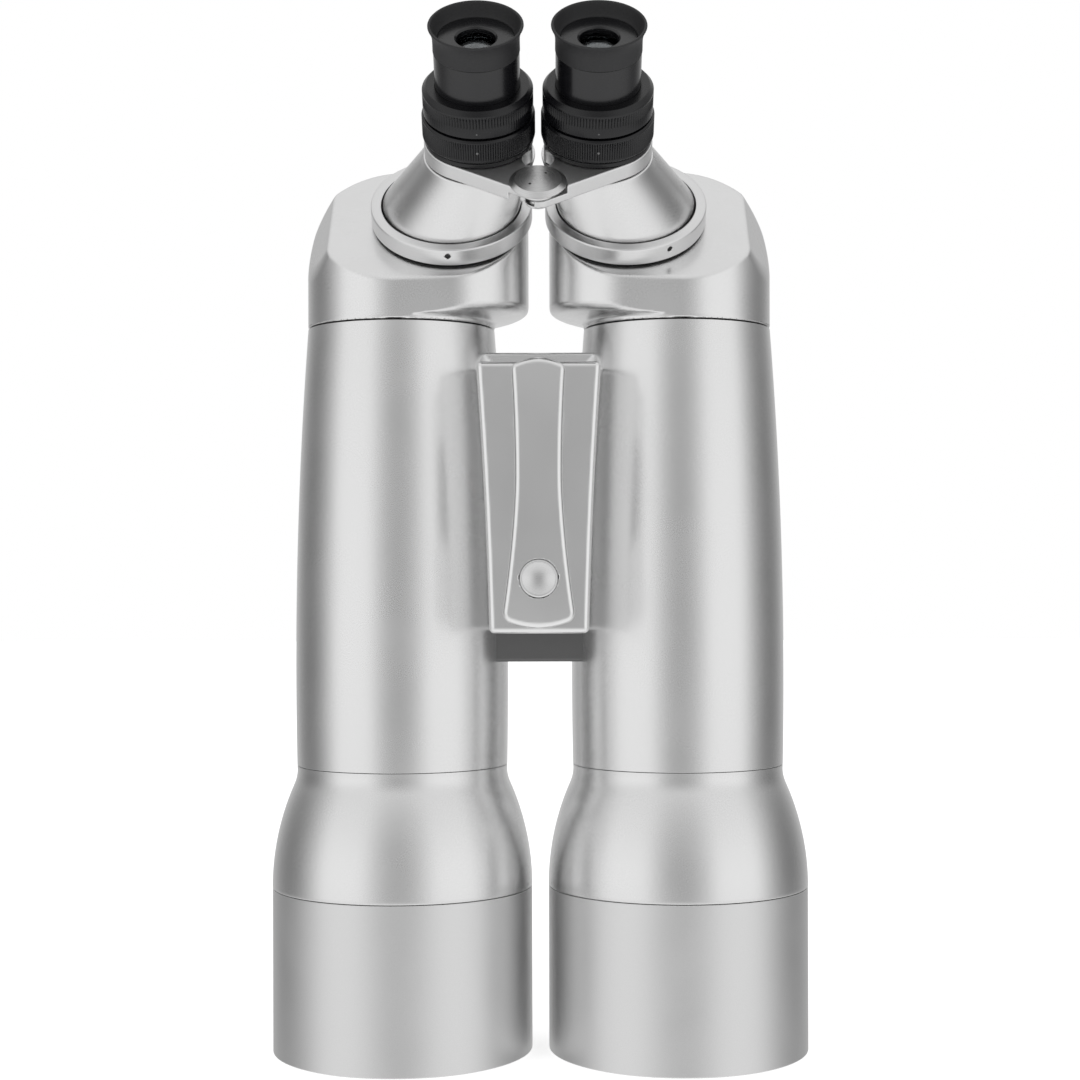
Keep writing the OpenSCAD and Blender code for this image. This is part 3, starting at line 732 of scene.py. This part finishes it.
def make_hood(side_name, side):
    """A straight sleeve with eased ends."""
    inner_r = HOOD_R - HOOD_WALL
    points = [
        (inner_r, 0.0, 0.5), (HOOD_R, 0.0, 0.6), (HOOD_R, HOOD_L, 0.45), (inner_r, HOOD_L, 0.3),
        (inner_r, 40.0),
    ]
    lathed("hood_" + side_name, points, upright(side), "hood_metal", segments=224)


# ---- Prism housings ----

HOUSING_R = 44.6
BULGE_R = 37.5
BULGE_X = 42.0
BULGE_Y = -6.0
FACE_Z = 407.4
BEVEL_X = 98.5
BEVEL_TILT = math.radians(60)
HOUSING_INNER_X = 4.5
HOUSING_OUTER_X = TUBE_X + 45.3
HOUSING_TOP_Z = TUBE_Z1 + 79.1
OUTER_SHOULDER_R = 45.3
INNER_SHOULDER_R = 24.0
UNDERSIDE_LIFT = 2.8
UNDERSIDE_SLOPE = 0.22
TUBE_BORE_R = 38.0
TURRET_BORE_R = 25.0


def shoulder(x, z, inset):
    """The housing seen from the front: a tall box with a large outer and a smaller inner shoulder."""
    low_x = HOUSING_INNER_X + inset
    high_x = HOUSING_OUTER_X - inset
    top = HOUSING_TOP_Z - inset
    outer_r = OUTER_SHOULDER_R - inset
    inner_r = INNER_SHOULDER_R - inset
    half = (high_x - low_x) / 2
    px = x - (high_x + low_x) / 2
    radius = np.where(px > 0, outer_r, inner_r)
    qx = np.abs(px) - half + radius
    qz = z - top + radius
    return np.minimum(np.maximum(qx, qz), 0) + np.hypot(np.maximum(qx, 0), np.maximum(qz, 0)) - radius


def housing_distance(x, y, z, inset=0.0):
    """Right-hand housing with the tube axis at y = 0. A positive inset gives the hollow inside."""
    edge = max(0.3, 1.0 - inset)
    straight = cylinder(x, y, TUBE_X, 0, HOUSING_R - inset)
    plan = capsule(x, y, (TUBE_X, 0), HOUSING_R - inset, (BULGE_X, BULGE_Y), BULGE_R - inset)
    beyond = np.maximum(straight, 0)
    underside = TUBE_Z1 + UNDERSIDE_LIFT + inset + UNDERSIDE_SLOPE * beyond - z
    body = both(plan, either(underside, straight, 1.5), np.clip(0.35 * beyond, 0, 4))
    body = both(body, TUBE_Z1 + 0.3 + inset - z, 0.5)
    out_of_face = (z - y - FACE_Z) * COS_45
    bevel = (x - BEVEL_X) * math.sin(BEVEL_TILT) + out_of_face * math.cos(BEVEL_TILT) + inset
    body = both(body, shoulder(x, z, inset), 1.6)
    body = both(body, bevel, edge + 0.6)
    return both(body, out_of_face + inset, edge)


def housing_shell(x, y, z):
    """The hollow casting, open at the tube's bore and at the turret."""
    shell = without(housing_distance(x, y, z), housing_distance(x, y, z, WALL))
    bore = both(cylinder(x, y, TUBE_X, 0, TUBE_BORE_R), z - TUBE_Z1 - 8)
    up_slope = (y - SLOPE_Y + z - SLOPE_Z) * COS_45
    out_of_face = (z - y - FACE_Z) * COS_45
    light_hole = both(cylinder(x, up_slope, TURRET_X, 0, TURRET_BORE_R), -12 - out_of_face)
    return without(without(shell, bore), light_hole)


def make_housings():
    """Both prism housings. The left one is the mirror image of the right one."""
    low, high = node_box("prism_housing_right")
    low[1] -= AXIS_Y
    high[1] -= AXIS_Y
    low[2] = TUBE_Z1
    shape = cast(housing_shell, low, high, 1.0)
    for side_name, side in SIDES.items():
        piece = cast_mesh(
            f"prism_housing_{side_name}_casting", shape, Matrix.Translation((0, AXIS_Y, 0)), side == LEFT
        )
        stand_for(piece, "prism_housing_" + side_name, "enamel")


SHELF_Z0 = 352.4
SHELF_Z1 = 354.4
SHELF_LIGHT_HOLE_R = 11.5
SHELF_SMALL_HOLE_R = 4.0


def shelf_distance(x, y, z):
    """The prism shelf: a plate across the inside of the housing, with a hole over each light path."""
    plate = both(housing_distance(x, y, z, WALL + 0.4), slab(z, SHELF_Z0, SHELF_Z1), 0.3)
    plate = without(plate, cylinder(x, y, TUBE_X, 0, SHELF_LIGHT_HOLE_R))
    return without(plate, cylinder(x, y, TURRET_X, 0, SHELF_SMALL_HOLE_R))


def make_shelves():
    """Both prism shelves, a little inside the walls of their housings."""
    shape = cast(shelf_distance, (5, -45, 352), (111, 45, 355), 0.9)
    place = Matrix.Translation((0, AXIS_Y, 0))
    for side_name, side in SIDES.items():
        piece = cast_mesh(f"prism_shelf_{side_name}_plate", shape, place, side == LEFT)
        stand_for(piece, "prism_shelf_" + side_name, "inner_black")


# ---- Turrets ----

RING_R = 37.95
RING_BORE_R = 33.0
RING_W0 = 1.4
RING_W1 = 10.2
RING_FOOT_R = 35.4
SET_SCREW_W = 6.6
SET_SCREW_HOLE_R = 1.25
FIRST_SET_SCREW = {LEFT: -91, RIGHT: -59}
SKIRT_R = 32.95
CONE_FOOT_W = 10.3
CONE_FOOT_R = 32.35
CONE_TOP_W = 37.2
CONE_TOP_R = 25.8
FLANGE_R = 34.9
FLANGE_W1 = 4.0
FLANGE_BORE_R = 29.5
EYE_BORE_R = 19.0


def ring_distance(first_screw):
    """The fixed ring in slope coordinates, with three screw holes and a groove for the cone's flange."""
    def distance(x, y, z):
        r = np.hypot(x, y)
        outer = both(both(r - RING_R, slab(z, RING_W0, RING_W1), 0.8), RING_BORE_R - r, 0.35)
        foot = both(r - RING_FOOT_R, slab(z, 0.35, 4.0), 0.3)
        body = either(outer, foot, 0.4)
        body = without(body, both(r - FLANGE_R - 0.1, z - FLANGE_W1 - 0.3))
        for turn in (0, 120, 240):
            angle = math.radians(first_screw + turn)
            along = x * math.cos(angle) + y * math.sin(angle)
            across = -x * math.sin(angle) + y * math.cos(angle)
            hole = both(cylinder(across, z, 0, SET_SCREW_W, SET_SCREW_HOLE_R), 30 - along)
            body = without(body, hole, 0.25)
        return body
    return distance


def make_ring(side_name, side):
    """The fixed ring on the slope, and a black seal under it, which also paints the dark shadow in the gap under
    the ring.
    """
    shape = cast(ring_distance(FIRST_SET_SCREW[side]), (-38, -38, 0), (38, 38, 10.3), 0.55)
    piece = cast_mesh(f"turret_ring_{side_name}_turned", shape, on_turret(side))
    stand_for(piece, "turret_ring_" + side_name, "turned_" + side_name)
    # A black seal in the gap under the ring: a gasket that also paints the shadow there
    seal = [(35.45, 0.4, 0.2), (36.7, 0.4, 0.2), (36.7, 1.35, 0.2), (35.45, 1.35, 0.2)]
    shadow_gasket = lathe(f"turret_shadow_seal_{side_name}", seal, on_turret(side), segments=160)
    add_detail(shadow_gasket, "barrels", "inner_black")


def make_cone(side_name, side):
    """The leaning cone: a skirt that turns in the ring, then an oblique cone up to the neck."""
    def lean(w):
        t = min(1.0, max(0.0, (w - CONE_FOOT_W) / (CONE_TOP_W - CONE_FOOT_W)))
        return -side * EYE_OFFSET * t

    def radius(w):
        t = (w - CONE_FOOT_W) / (CONE_TOP_W - CONE_FOOT_W)
        return CONE_FOOT_R + (CONE_TOP_R - CONE_FOOT_R) * t

    rise = np.linspace(CONE_FOOT_W + 0.3, CONE_TOP_W - 0.5, 14)
    points = (
        [(FLANGE_BORE_R, 0.3, 0.3), (FLANGE_R, 0.3, 0.3), (FLANGE_R, FLANGE_W1, 0.3)]
        + [(SKIRT_R, FLANGE_W1), (SKIRT_R, 5.6), (CONE_FOOT_R, 6.0)]
        + [(radius(w), w) for w in rise]
        + [(CONE_TOP_R - 0.6, CONE_TOP_W), (EYE_BORE_R, CONE_TOP_W), (EYE_BORE_R, CONE_TOP_W - 3)]
        + [(radius(w) - WALL - 1, w) for w in rise[::-1][2:]]
        + [(FLANGE_BORE_R, CONE_FOOT_W)]
    )
    lathed("turret_cone_" + side_name, points, on_turret(side), "enamel", segments=224, lean=lean)


def make_neck(side_name, side):
    """The tube on top of the cone, with the flange that carries the focus ring."""
    points = [
        (19.2, 37.2, 0.3), (21.5, 37.2, 0.3), (21.5, 45.3), (25.0, 45.3, 0.4), (25.0, 47.5, 0.5),
        (20.5, 47.5), (20.5, 58.5, 0.4), (19.2, 58.5, 0.3),
    ]
    lathed("eyepiece_neck_" + side_name, points, on_eyepiece(side), "anodised", segments=160)


# ---- Linkage ----

PIVOT_V = -37.05
ARM_W0 = 37.5
ARM_W1 = 45.0
ARM_EYE_R = 25.3
ARM_PIVOT_R = 8.0
ARM_NECK_HOLE_R = 21.55
STEP_R = 13.0
SCOOP_V = -16.0
SCOOP_R = 8.5
LAP_W = 41.25
LAP_GAP = 0.15
LAP_R = 7.9
PIN_HOLE_R = 2.55
SLOT_R = 3.2
SLOT_HALF = 2.6
SPANNER_HOLE_AT = 5.5


def capsule(x, y, a, ra, b, rb):
    """A plate over two circles of different radii and the sides that touch both."""
    ax, ay = a
    dx, dy = b[0] - ax, b[1] - ay
    length = math.hypot(dx, dy)
    ux, uy = dx / length, dy / length
    px, py = x - ax, y - ay
    along = px * ux + py * uy
    across = np.abs(-px * uy + py * ux)
    sine = (ra - rb) / length
    cosine = math.sqrt(1 - sine * sine)
    slide = cosine * along - sine * across
    side = sine * along + cosine * across - ra
    near = np.hypot(along, across) - ra
    far = np.hypot(along - length, across) - rb
    return np.where(slide < 0, near, np.where(slide > cosine * length, far, side))


def arm_distance(side):
    """One linkage arm in slope coordinates: full thickness, then half of it under or over the other arm."""
    eye_x = side * (TURRET_X - EYE_OFFSET)
    upper = side == LEFT

    def outline(x, y):
        """The plate seen along the slope's normal, scooped out beside the middle plane."""
        plate = capsule(x, y, (eye_x, 0), ARM_EYE_R, (0, PIVOT_V), ARM_PIVOT_R)
        scoop = cylinder(x, y, side * -1.5, SCOOP_V, SCOOP_R)
        near_eye = both(without(plate, scoop, 2.0), 2.6 - side * x, 1.5)
        return np.where(y > PIVOT_V + ARM_PIVOT_R, near_eye, without(plate, scoop))

    def lap(x, y, z, from_pivot):
        """The half-thickness end at the pivot. The lower one's tip is cut off past the middle plane."""
        plan = both(np.minimum(outline(x, y), from_pivot - LAP_R), from_pivot - STEP_R - 3)
        if upper:
            return both(plan, slab(z, LAP_W + LAP_GAP, ARM_W1), 0.5)
        end = both(plan, slab(z, ARM_W0, LAP_W - LAP_GAP), 0.5)
        return without(end, np.maximum(x + 1.6, y + 39))

    def pivot_hole(x, y, from_pivot):
        """A close hole in the upper arm, and a slot in the lower one, where the pin shifts a little."""
        if upper:
            return from_pivot - PIN_HOLE_R
        return np.hypot(np.maximum(np.abs(x) - SLOT_HALF, 0), y - PIVOT_V) - SLOT_R

    def distance(x, y, z):
        from_pivot = np.hypot(x, y - PIVOT_V)
        full = both(both(outline(x, y), STEP_R - from_pivot, 0.5), slab(z, ARM_W0, ARM_W1), 0.8)
        body = np.minimum(full, lap(x, y, z, from_pivot))
        body = without(body, cylinder(x, y, eye_x, 0, ARM_NECK_HOLE_R), 0.3)
        return without(body, pivot_hole(x, y, from_pivot), 0.2)
    return distance


def make_arm(side_name, side):
    """One linkage arm, meshed in slope coordinates."""
    eye_x = side * (TURRET_X - EYE_OFFSET)
    low = (min(eye_x - 26, -13), -48, ARM_W0)
    high = (max(eye_x + 26, 13), 26, ARM_W1)
    shape = cast(arm_distance(side), low, high, 0.6)
    piece = cast_mesh(f"arm_{side_name}_plate", shape, on_slope())
    stand_for(piece, "arm_" + side_name, "arm_metal")


def make_pivot_pin():
    """The pivot pin with its bevelled cap, and a black disc at each of the two spanner holes, painting the shade
    inside the hole.
    """
    place = on_slope() @ Matrix.Translation((0, PIVOT_V, 0))
    points = [
        (0, 35.9), (6.1, 35.9, 0.4), (6.1, 37.2, 0.3), (2.5, 37.2), (2.5, 45.02), (8.0, 45.02), (8.0, 46.0),
        (12.7, 46.0, 0.3), (12.95, 46.55, 0.25), (10.5, 48.1, 0.45), (5.0, 48.3), (0, 48.4),
    ]
    piece = lathe("pivot_pin_cap", points, place, segments=128)
    stand_for(piece, "pivot_pin", "cap_metal")
    # Solid black discs, flush with the cap face, paint the shade inside the spanner holes
    bottom = [(0, 47.6), (0.62, 47.6), (0.62, 48.34), (0, 48.32)]
    for number, degrees in enumerate((50, 230)):
        angle = math.radians(degrees)
        spot = Matrix.Translation((SPANNER_HOLE_AT * math.cos(angle), SPANNER_HOLE_AT * math.sin(angle), 0))
        hole = lathe(f"pivot_pin_spanner_hole_shade_{number}", bottom, place @ spot, segments=24)
        add_detail(hole, "arm_left", "inner_black")


# ---- Focus rings and eyepieces ----

COLLAR_R = 25.0
FOCUS_RING_R = 25.75


def make_focus_ring(side_name, side):
    """The knurled ring under the collar."""
    points = [
        (20.55, 47.8, 0.3), (25.1, 47.8, 0.5), (FOCUS_RING_R, 48.8, 0.3), (FOCUS_RING_R, 58.7, 0.3),
        (25.0, 59.5, 0.4), (20.55, 59.5, 0.3),
    ]
    lathed(
        "focus_ring_" + side_name, points, on_eyepiece(side), "anodised",
        knurl=Knurl(49.4, 58.3, 140, 0.45, 25.0),
    )


def make_collar(side_name, side):
    """The collar, with a plain band below its knurled one."""
    points = [
        (19.17, 60.3, 0.2), (24.6, 60.3, 0.4), (COLLAR_R, 60.8, 0.3), (COLLAR_R, 71.6, 0.5),
        (23.2, 73.6, 0.5), (19.17, 73.6, 0.2),
    ]
    lathed(
        "eyepiece_collar_" + side_name, points, on_eyepiece(side), "anodised",
        knurl=Knurl(65.4, 70.6, 110, 0.5, 24.5),
    )


def make_marks(side_name, side):
    """A small index dot on the collar's plain band and one on the focus ring, both facing the user."""
    def facing_user(radius, w):
        return on_eyepiece(side) @ Matrix.Translation((0, -radius, w)) @ FACE_FORWARD

    small = [(0, -0.3), (0.38, -0.3), (0.38, 0.03), (0, 0.04)]
    dot = lathe(f"collar_dot_{side_name}", small, facing_user(COLLAR_R, 62.9), segments=24)
    add_detail(dot, "eyepiece_" + side_name, "mark_grey")
    large = [(0, -0.5), (0.55, -0.5), (0.55, 0.03), (0, 0.04)]
    dot = lathe(f"focus_dot_{side_name}", large, facing_user(FOCUS_RING_R, 53.6), segments=24)
    add_detail(dot, "focus_" + side_name, "mark_grey")


def make_barrel(side_name, side):
    """The black barrel, open in the middle for the eye lens."""
    points = [
        (16.6, 40.0, 0.3), (19.15, 40.0, 0.4), (19.15, 90.5, 0.35), (17.0, 90.5), (17.0, 96.7, 0.3),
        (9.6, 96.7, 0.5), (8.7, 95.9, 0.3), (8.7, 94.6), (8.2, 94.3), (8.7, 94.0), (8.7, 93.2), (10.1, 93.2),
        (10.1, 86.5), (16.6, 81.5),
    ]
    lathed("eyepiece_barrel_" + side_name, points, on_eyepiece(side), "barrel_black", segments=160)


def make_eyecup(side_name, side):
    """The soft cup, flared towards its rim."""
    points = [
        (17.02, 90.55, 0.2), (19.35, 90.5, 0.35), (19.3, 94.5), (19.33, 96.6), (19.55, 98.3), (19.95, 99.9),
        (20.5, 101.3), (20.95, 102.1, 0.3), (21.2, 102.75, 0.35), (20.75, 103.2, 0.3), (20.05, 103.1, 0.3),
        (19.6, 102.3), (19.1, 100.8), (18.5, 99.3), (17.9, 98.0), (17.35, 97.1), (17.02, 96.75),
    ]
    lathed("eyecup_" + side_name, points, on_eyepiece(side), "rubber", segments=160)


# ---- Bridge, block, handle and foot ----

WEB_Z0 = 185.8
WEB_Z1 = 331.0
WEB_HALF_Y = 22.0
WEB_REACH_X = 38.0
WEB_REACH_Y = 34.0
RECESS_Z1 = 203.0
RECESS_Y = -19.0


def bridge_distance(x, y, z):
    """The web between the tubes, filleted into both. It reaches a little way into the tube walls."""
    fillet = np.where(z > 260, np.clip(WEB_Z1 + 0.5 - z, 0.5, 9.0), 0.3)
    body = either(np.abs(y) - WEB_HALF_Y, tubes_distance(x, y, z, -0.45), fillet)
    body = both(body, np.abs(x) - WEB_REACH_X)
    body = both(body, np.abs(y) - WEB_REACH_Y)
    body = both(body, slab(z, WEB_Z0, WEB_Z1), 1.4)
    return both(body, -(tubes_distance(x, y, z) + 2.4))


def recess_region(y, z):
    """The front of the web below the block, which gets a dark grey enamel as painted shade."""
    return np.maximum(z - RECESS_Z1, y - RECESS_Y)


def make_bridge():
    """The web in two pieces, so that the painted shade, a dark grey enamel, stays on its lower front."""
    def recess(x, y, z):
        return both(bridge_distance(x, y, z), recess_region(y, z))

    def main(x, y, z):
        return without(bridge_distance(x, y, z), recess_region(y, z))

    for name, distance, material in (("main", main, "enamel"), ("recess", recess, "web_shade")):
        shape = cast(distance, (-WEB_REACH_X, -WEB_REACH_Y, 185), (WEB_REACH_X, WEB_REACH_Y, 331), 1.0)
        piece = cast_mesh("bridge_web_" + name, shape, Matrix.Translation((0, AXIS_Y, 0)))
        stand_for(piece, "bridge", material)


BLOCK_Z0 = 200.0
BLOCK_Z1 = 323.2
BLOCK_HALF_LOW = 22.6
BLOCK_HALF_HIGH = 28.4
BLOCK_HOLLOW = 0.7
BLOCK_FRONT = 57.5
BLOCK_BACK = 21.9


def block_distance(x, y, z):
    """The raised block in front: wider at the top, its sides slightly hollow."""
    t = np.clip((z - BLOCK_Z0) / (BLOCK_Z1 - BLOCK_Z0), 0, 1)
    half = BLOCK_HALF_LOW + (BLOCK_HALF_HIGH - BLOCK_HALF_LOW) * t - BLOCK_HOLLOW * np.sin(math.pi * t)
    outline = both(np.abs(x) - half, slab(z, BLOCK_Z0, BLOCK_Z1), 2.6)
    body = both(outline, -BLOCK_FRONT - y, 2.8)
    body = both(body, y + BLOCK_BACK)
    return both(body, -(tubes_distance(x, y, z) + 1.6))


def make_block():
    shape = cast(block_distance, (-30, -58, 200), (30, -21, 324), 0.9)
    piece = cast_mesh("front_block_casting", shape, Matrix.Translation((0, AXIS_Y, 0)))
    stand_for(piece, "front_block", "gloss_enamel")


HANDLE_WAIST_Z = 270.0
HANDLE_WAIST_HALF = 10.5
HANDLE_Z0 = 206.5
HANDLE_Z1 = 319.0
HANDLE_FRONT = 89.0
GAP_Z = 270.5
GAP_HALF = 31.0
GAP_DEPTH = 21.5
CAP_Z = 225.0
CAP_SEAT_R = 8.45
CAP_SEAT_FRONT = 83.2


def handle_half(z):
    """Half the handle's width: a waist, a little wider at the top and flared at the bottom."""
    up = np.clip((z - HANDLE_WAIST_Z) / (HANDLE_Z1 - HANDLE_WAIST_Z), 0, 1.1)
    down = np.clip((HANDLE_WAIST_Z - z) / (HANDLE_WAIST_Z - HANDLE_Z0), 0, 1.1)
    return HANDLE_WAIST_HALF + 1.7 * up**2 + 6.0 * down**1.6


def handle_distance(x, y, z):
    """The carry handle: a waisted bar that arches clear of the block, with a round seat for its cap."""
    top = z - HANDLE_Z1 - 3 * (1 - x * x / 121)
    bottom = HANDLE_Z0 - 3.5 * (1 - x * x / 237) - z
    corner = np.where(z > HANDLE_WAIST_Z, 2.2, 4.0)
    outline = both((np.abs(x) - handle_half(z)) * 0.985, np.maximum(top, bottom) * 0.96, corner)
    reach = HANDLE_FRONT - 3.5 * ((z - 263.0) / 60.0) ** 2
    body = both(outline, -y - reach, 2.6)
    body = both(body, y + BLOCK_FRONT, 0.9)
    from_middle = np.abs(z - GAP_Z)
    gap_floor = BLOCK_FRONT + GAP_DEPTH * np.clip(1 - (from_middle / (GAP_HALF + 0.5)) ** 3, 0, 1) ** 0.6
    gap = both((-y - gap_floor) * 0.6, from_middle - GAP_HALF)
    body = without(body, gap, 1.2)
    seat = both(cylinder(x, z, 0, CAP_Z, CAP_SEAT_R), y + CAP_SEAT_FRONT)
    return without(body, seat, 0.1)


def make_handle():
    shape = cast(handle_distance, (-18, -90, 202), (18, -57, 323), 0.75)
    piece = cast_mesh("handle_bar", shape, Matrix.Translation((0, AXIS_Y, 0)))
    stand_for(piece, "handle", "gloss_enamel")


def make_handle_cap():
    """The round cap at the handle's lower end, with a shallow dish in its face."""
    place = Matrix.Translation((0, AXIS_Y - 83.1, CAP_Z)) @ FACE_FORWARD
    dish = [(r, 5.25 - 1.9 * (1 - (r / 7.2) ** 2)) for r in np.linspace(6.9, 0, 9)]
    points = [(0, 0), (8.4, 0, 0.2), (8.4, 4.7, 0.8), (7.6, 5.3, 0.5)] + dish
    lathed("handle_cap", points, place, "cap_metal", segments=128)


FOOT_Z0 = 213.0
FOOT_Z1 = 297.0
FOOT_BACK = 72.0
FOOT_FRONT = 22.1
NECK_HALF = 15.9
PAD_HALF = 22.0
PAD_FRONT = 50.5
# Height, radius and depth of the bush's bore, the two location holes and the two screw holes
FOOT_HOLES = [
    (255.0, 8.05, 14.0), (229.0, 3.17, 12.0), (281.0, 3.17, 12.0), (242.0, 4.6, 39.0), (268.0, 4.6, 39.0),
]


def foot_distance(x, y, z):
    """Tripod foot behind the bridge: a neck between the tubes and a wider pad."""
    neck = both(np.abs(x) - NECK_HALF, y - 60)
    pad = both(both(np.abs(x) - PAD_HALF, PAD_FRONT - y, 3.0), y - FOOT_BACK, 1.6)
    body = both(either(neck, pad, 5.0), FOOT_FRONT - y)
    body = both(body, slab(z, FOOT_Z0, FOOT_Z1), 2.0)
    for height, radius, depth in FOOT_HOLES:
        hole = both(cylinder(x, z, 0, height, radius), FOOT_BACK - depth - y)
        body = without(body, hole, 0.4)
    return body


def make_foot():
    shape = cast(foot_distance, (-23, 22, 212), (23, 73, 298), 0.9)
    piece = cast_mesh("tripod_foot_casting", shape, Matrix.Translation((0, AXIS_Y, 0)))
    stand_for(piece, "tripod_foot", "enamel")


# ---- CAD nodes that stay ----

KEPT = {
    "inner_black": ["objective_cell", "lens_retainer"],
    "glass": ["crown_lens", "flint_lens", "eye_lens", "field_lens"],
    "prism_glass": ["offset_prism", "roof_prism"],
    "felt": ["hood_felt"],
}
KEPT_ALONE = {
    "tube_baffles": "inner_black",
    "turret_set_screws": "steel",
    "handle_screws": "steel",
    "foot_screws": "steel",
    "lens_spacers": "steel",
    "thread_bush": "brass",
}


def finish_node(name, material):
    """Gives a CAD node that stays its own finish."""
    slots = frame["nodes"][name].data.materials
    slots.clear()
    slots.append(MATERIALS[material])


def finish_kept_nodes():
    """Finishes the nodes that come in pairs, then the others."""
    for material, names in KEPT.items():
        for name in names:
            for side_name in SIDES:
                finish_node(f"{name}_{side_name}", material)
    for name, material in KEPT_ALONE.items():
        finish_node(name, material)


def grey_finish(name, dark, light, *values, **inputs):
    """A plain finish between two greys."""
    return plain_finish(name, (dark, dark, dark), (light, light, light), *values, **inputs)


def make_metals():
    MATERIALS["enamel"] = enamel("silver_enamel", 0.80, 0.27)
    MATERIALS["hood_metal"] = enamel("hood_silver", 0.76, 0.40)
    # The arms' faces that look out of the slope get a lighter grey: painted light on a brushed face
    MATERIALS["arm_metal"] = brushed_lit_top(0.80, 0.84, 0.42)
    MATERIALS["gloss_enamel"] = enamel("gloss_enamel", 0.82, 0.21)
    # Dark grey enamel that paints the shade on the web's lower front, under the block
    MATERIALS["web_shade"] = enamel("web_painted_shade_enamel", 0.17, 0.50)
    for side_name, side in SIDES.items():
        MATERIALS["turned_" + side_name] = turned("turned_ring_" + side_name, 0.78, 0.30, on_turret(side))
    pivot = on_slope() @ Matrix.Translation((0, PIVOT_V, 0))
    MATERIALS["cap_metal"] = turned("turned_cap", 0.72, 0.28, pivot, line_scale=5200, strength=0.02)
    MATERIALS["steel"] = grey_finish("black_steel", 0.02, 0.04, 0.42, 2400, 0.1, Metallic=0.6)
    MATERIALS["brass"] = plain_finish(
        "brass", (0.58, 0.42, 0.17), (0.70, 0.53, 0.24), 0.30, 1800, 0.1, Metallic=1.0
    )


def make_dark_materials():
    MATERIALS["anodised"] = plain_finish(
        "black_anodised", (0.002, 0.002, 0.003), (0.006, 0.006, 0.007), 0.28, 2600, 0.06, IOR=1.46
    )
    MATERIALS["barrel_black"] = plain_finish(
        "barrel_black", (0.004, 0.004, 0.005), (0.007, 0.007, 0.008), 0.22, 2600, 0.01, IOR=1.55
    )
    MATERIALS["rubber"] = plain_finish(
        "eyecup_rubber", (0.010, 0.010, 0.011), (0.018, 0.018, 0.019), 0.60, 1800, 0.2
    )
    MATERIALS["inner_black"] = grey_finish("inner_black", 0.008, 0.016, 0.80, 1500, 0.3)
    MATERIALS["mark_grey"] = grey_finish("mark_grey", 0.10, 0.16, 0.45, 1500, 0.05)
    MATERIALS["felt"] = grey_finish("felt", 0.010, 0.03, 0.9, 2200, 0.9)


def make_glass():
    MATERIALS["glass"] = coated_glass("coated_glass", (0.97, 0.98, 0.98), (0.85, 0.90, 0.92))
    MATERIALS["prism_glass"] = coated_glass("prism_glass", (0.95, 0.98, 0.97), (1.0, 1.0, 1.0))


def make_floor():
    """A plain pale floor, a little brighter than the light alone would make it."""
    size = 6.0
    mesh = bpy.data.meshes.new("floor")
    corners = [(-size, -size, 0), (size, -size, 0), (size, size, 0), (-size, size, 0)]
    mesh.from_pydata(corners, [], [(0, 1, 2, 3)])
    floor = bpy.data.objects.new("floor", mesh)
    floor.location.z = -0.0003
    floor.visible_glossy = False
    material, tree, shader = new_material("floor_paper", Roughness=0.9, Emission_Strength=0.62)
    shader.inputs["Emission Color"].default_value = (1, 1, 1, 1)
    paper = two_tones(tree, grain(tree, 300, 2.0), [0.86] * 3, [0.88] * 3)
    tree.links.new(paper, shader.inputs["Base Color"])
    mesh.materials.append(material)
    bpy.context.scene.collection.objects.link(floor)


make_camera()
make_world()
make_floor()
make_metals()
make_dark_materials()
make_glass()
for side_name, side in SIDES.items():
    make_tube(side_name, side)
    make_bell(side_name, side)
    make_hood(side_name, side)
    make_ring(side_name, side)
    make_cone(side_name, side)
    make_neck(side_name, side)
    make_arm(side_name, side)
    make_focus_ring(side_name, side)
    make_collar(side_name, side)
    make_marks(side_name, side)
    make_barrel(side_name, side)
    make_eyecup(side_name, side)
make_pivot_pin()
make_housings()
make_shelves()
make_bridge()
make_block()
make_handle()
make_handle_cap()
make_foot()
finish_kept_nodes()
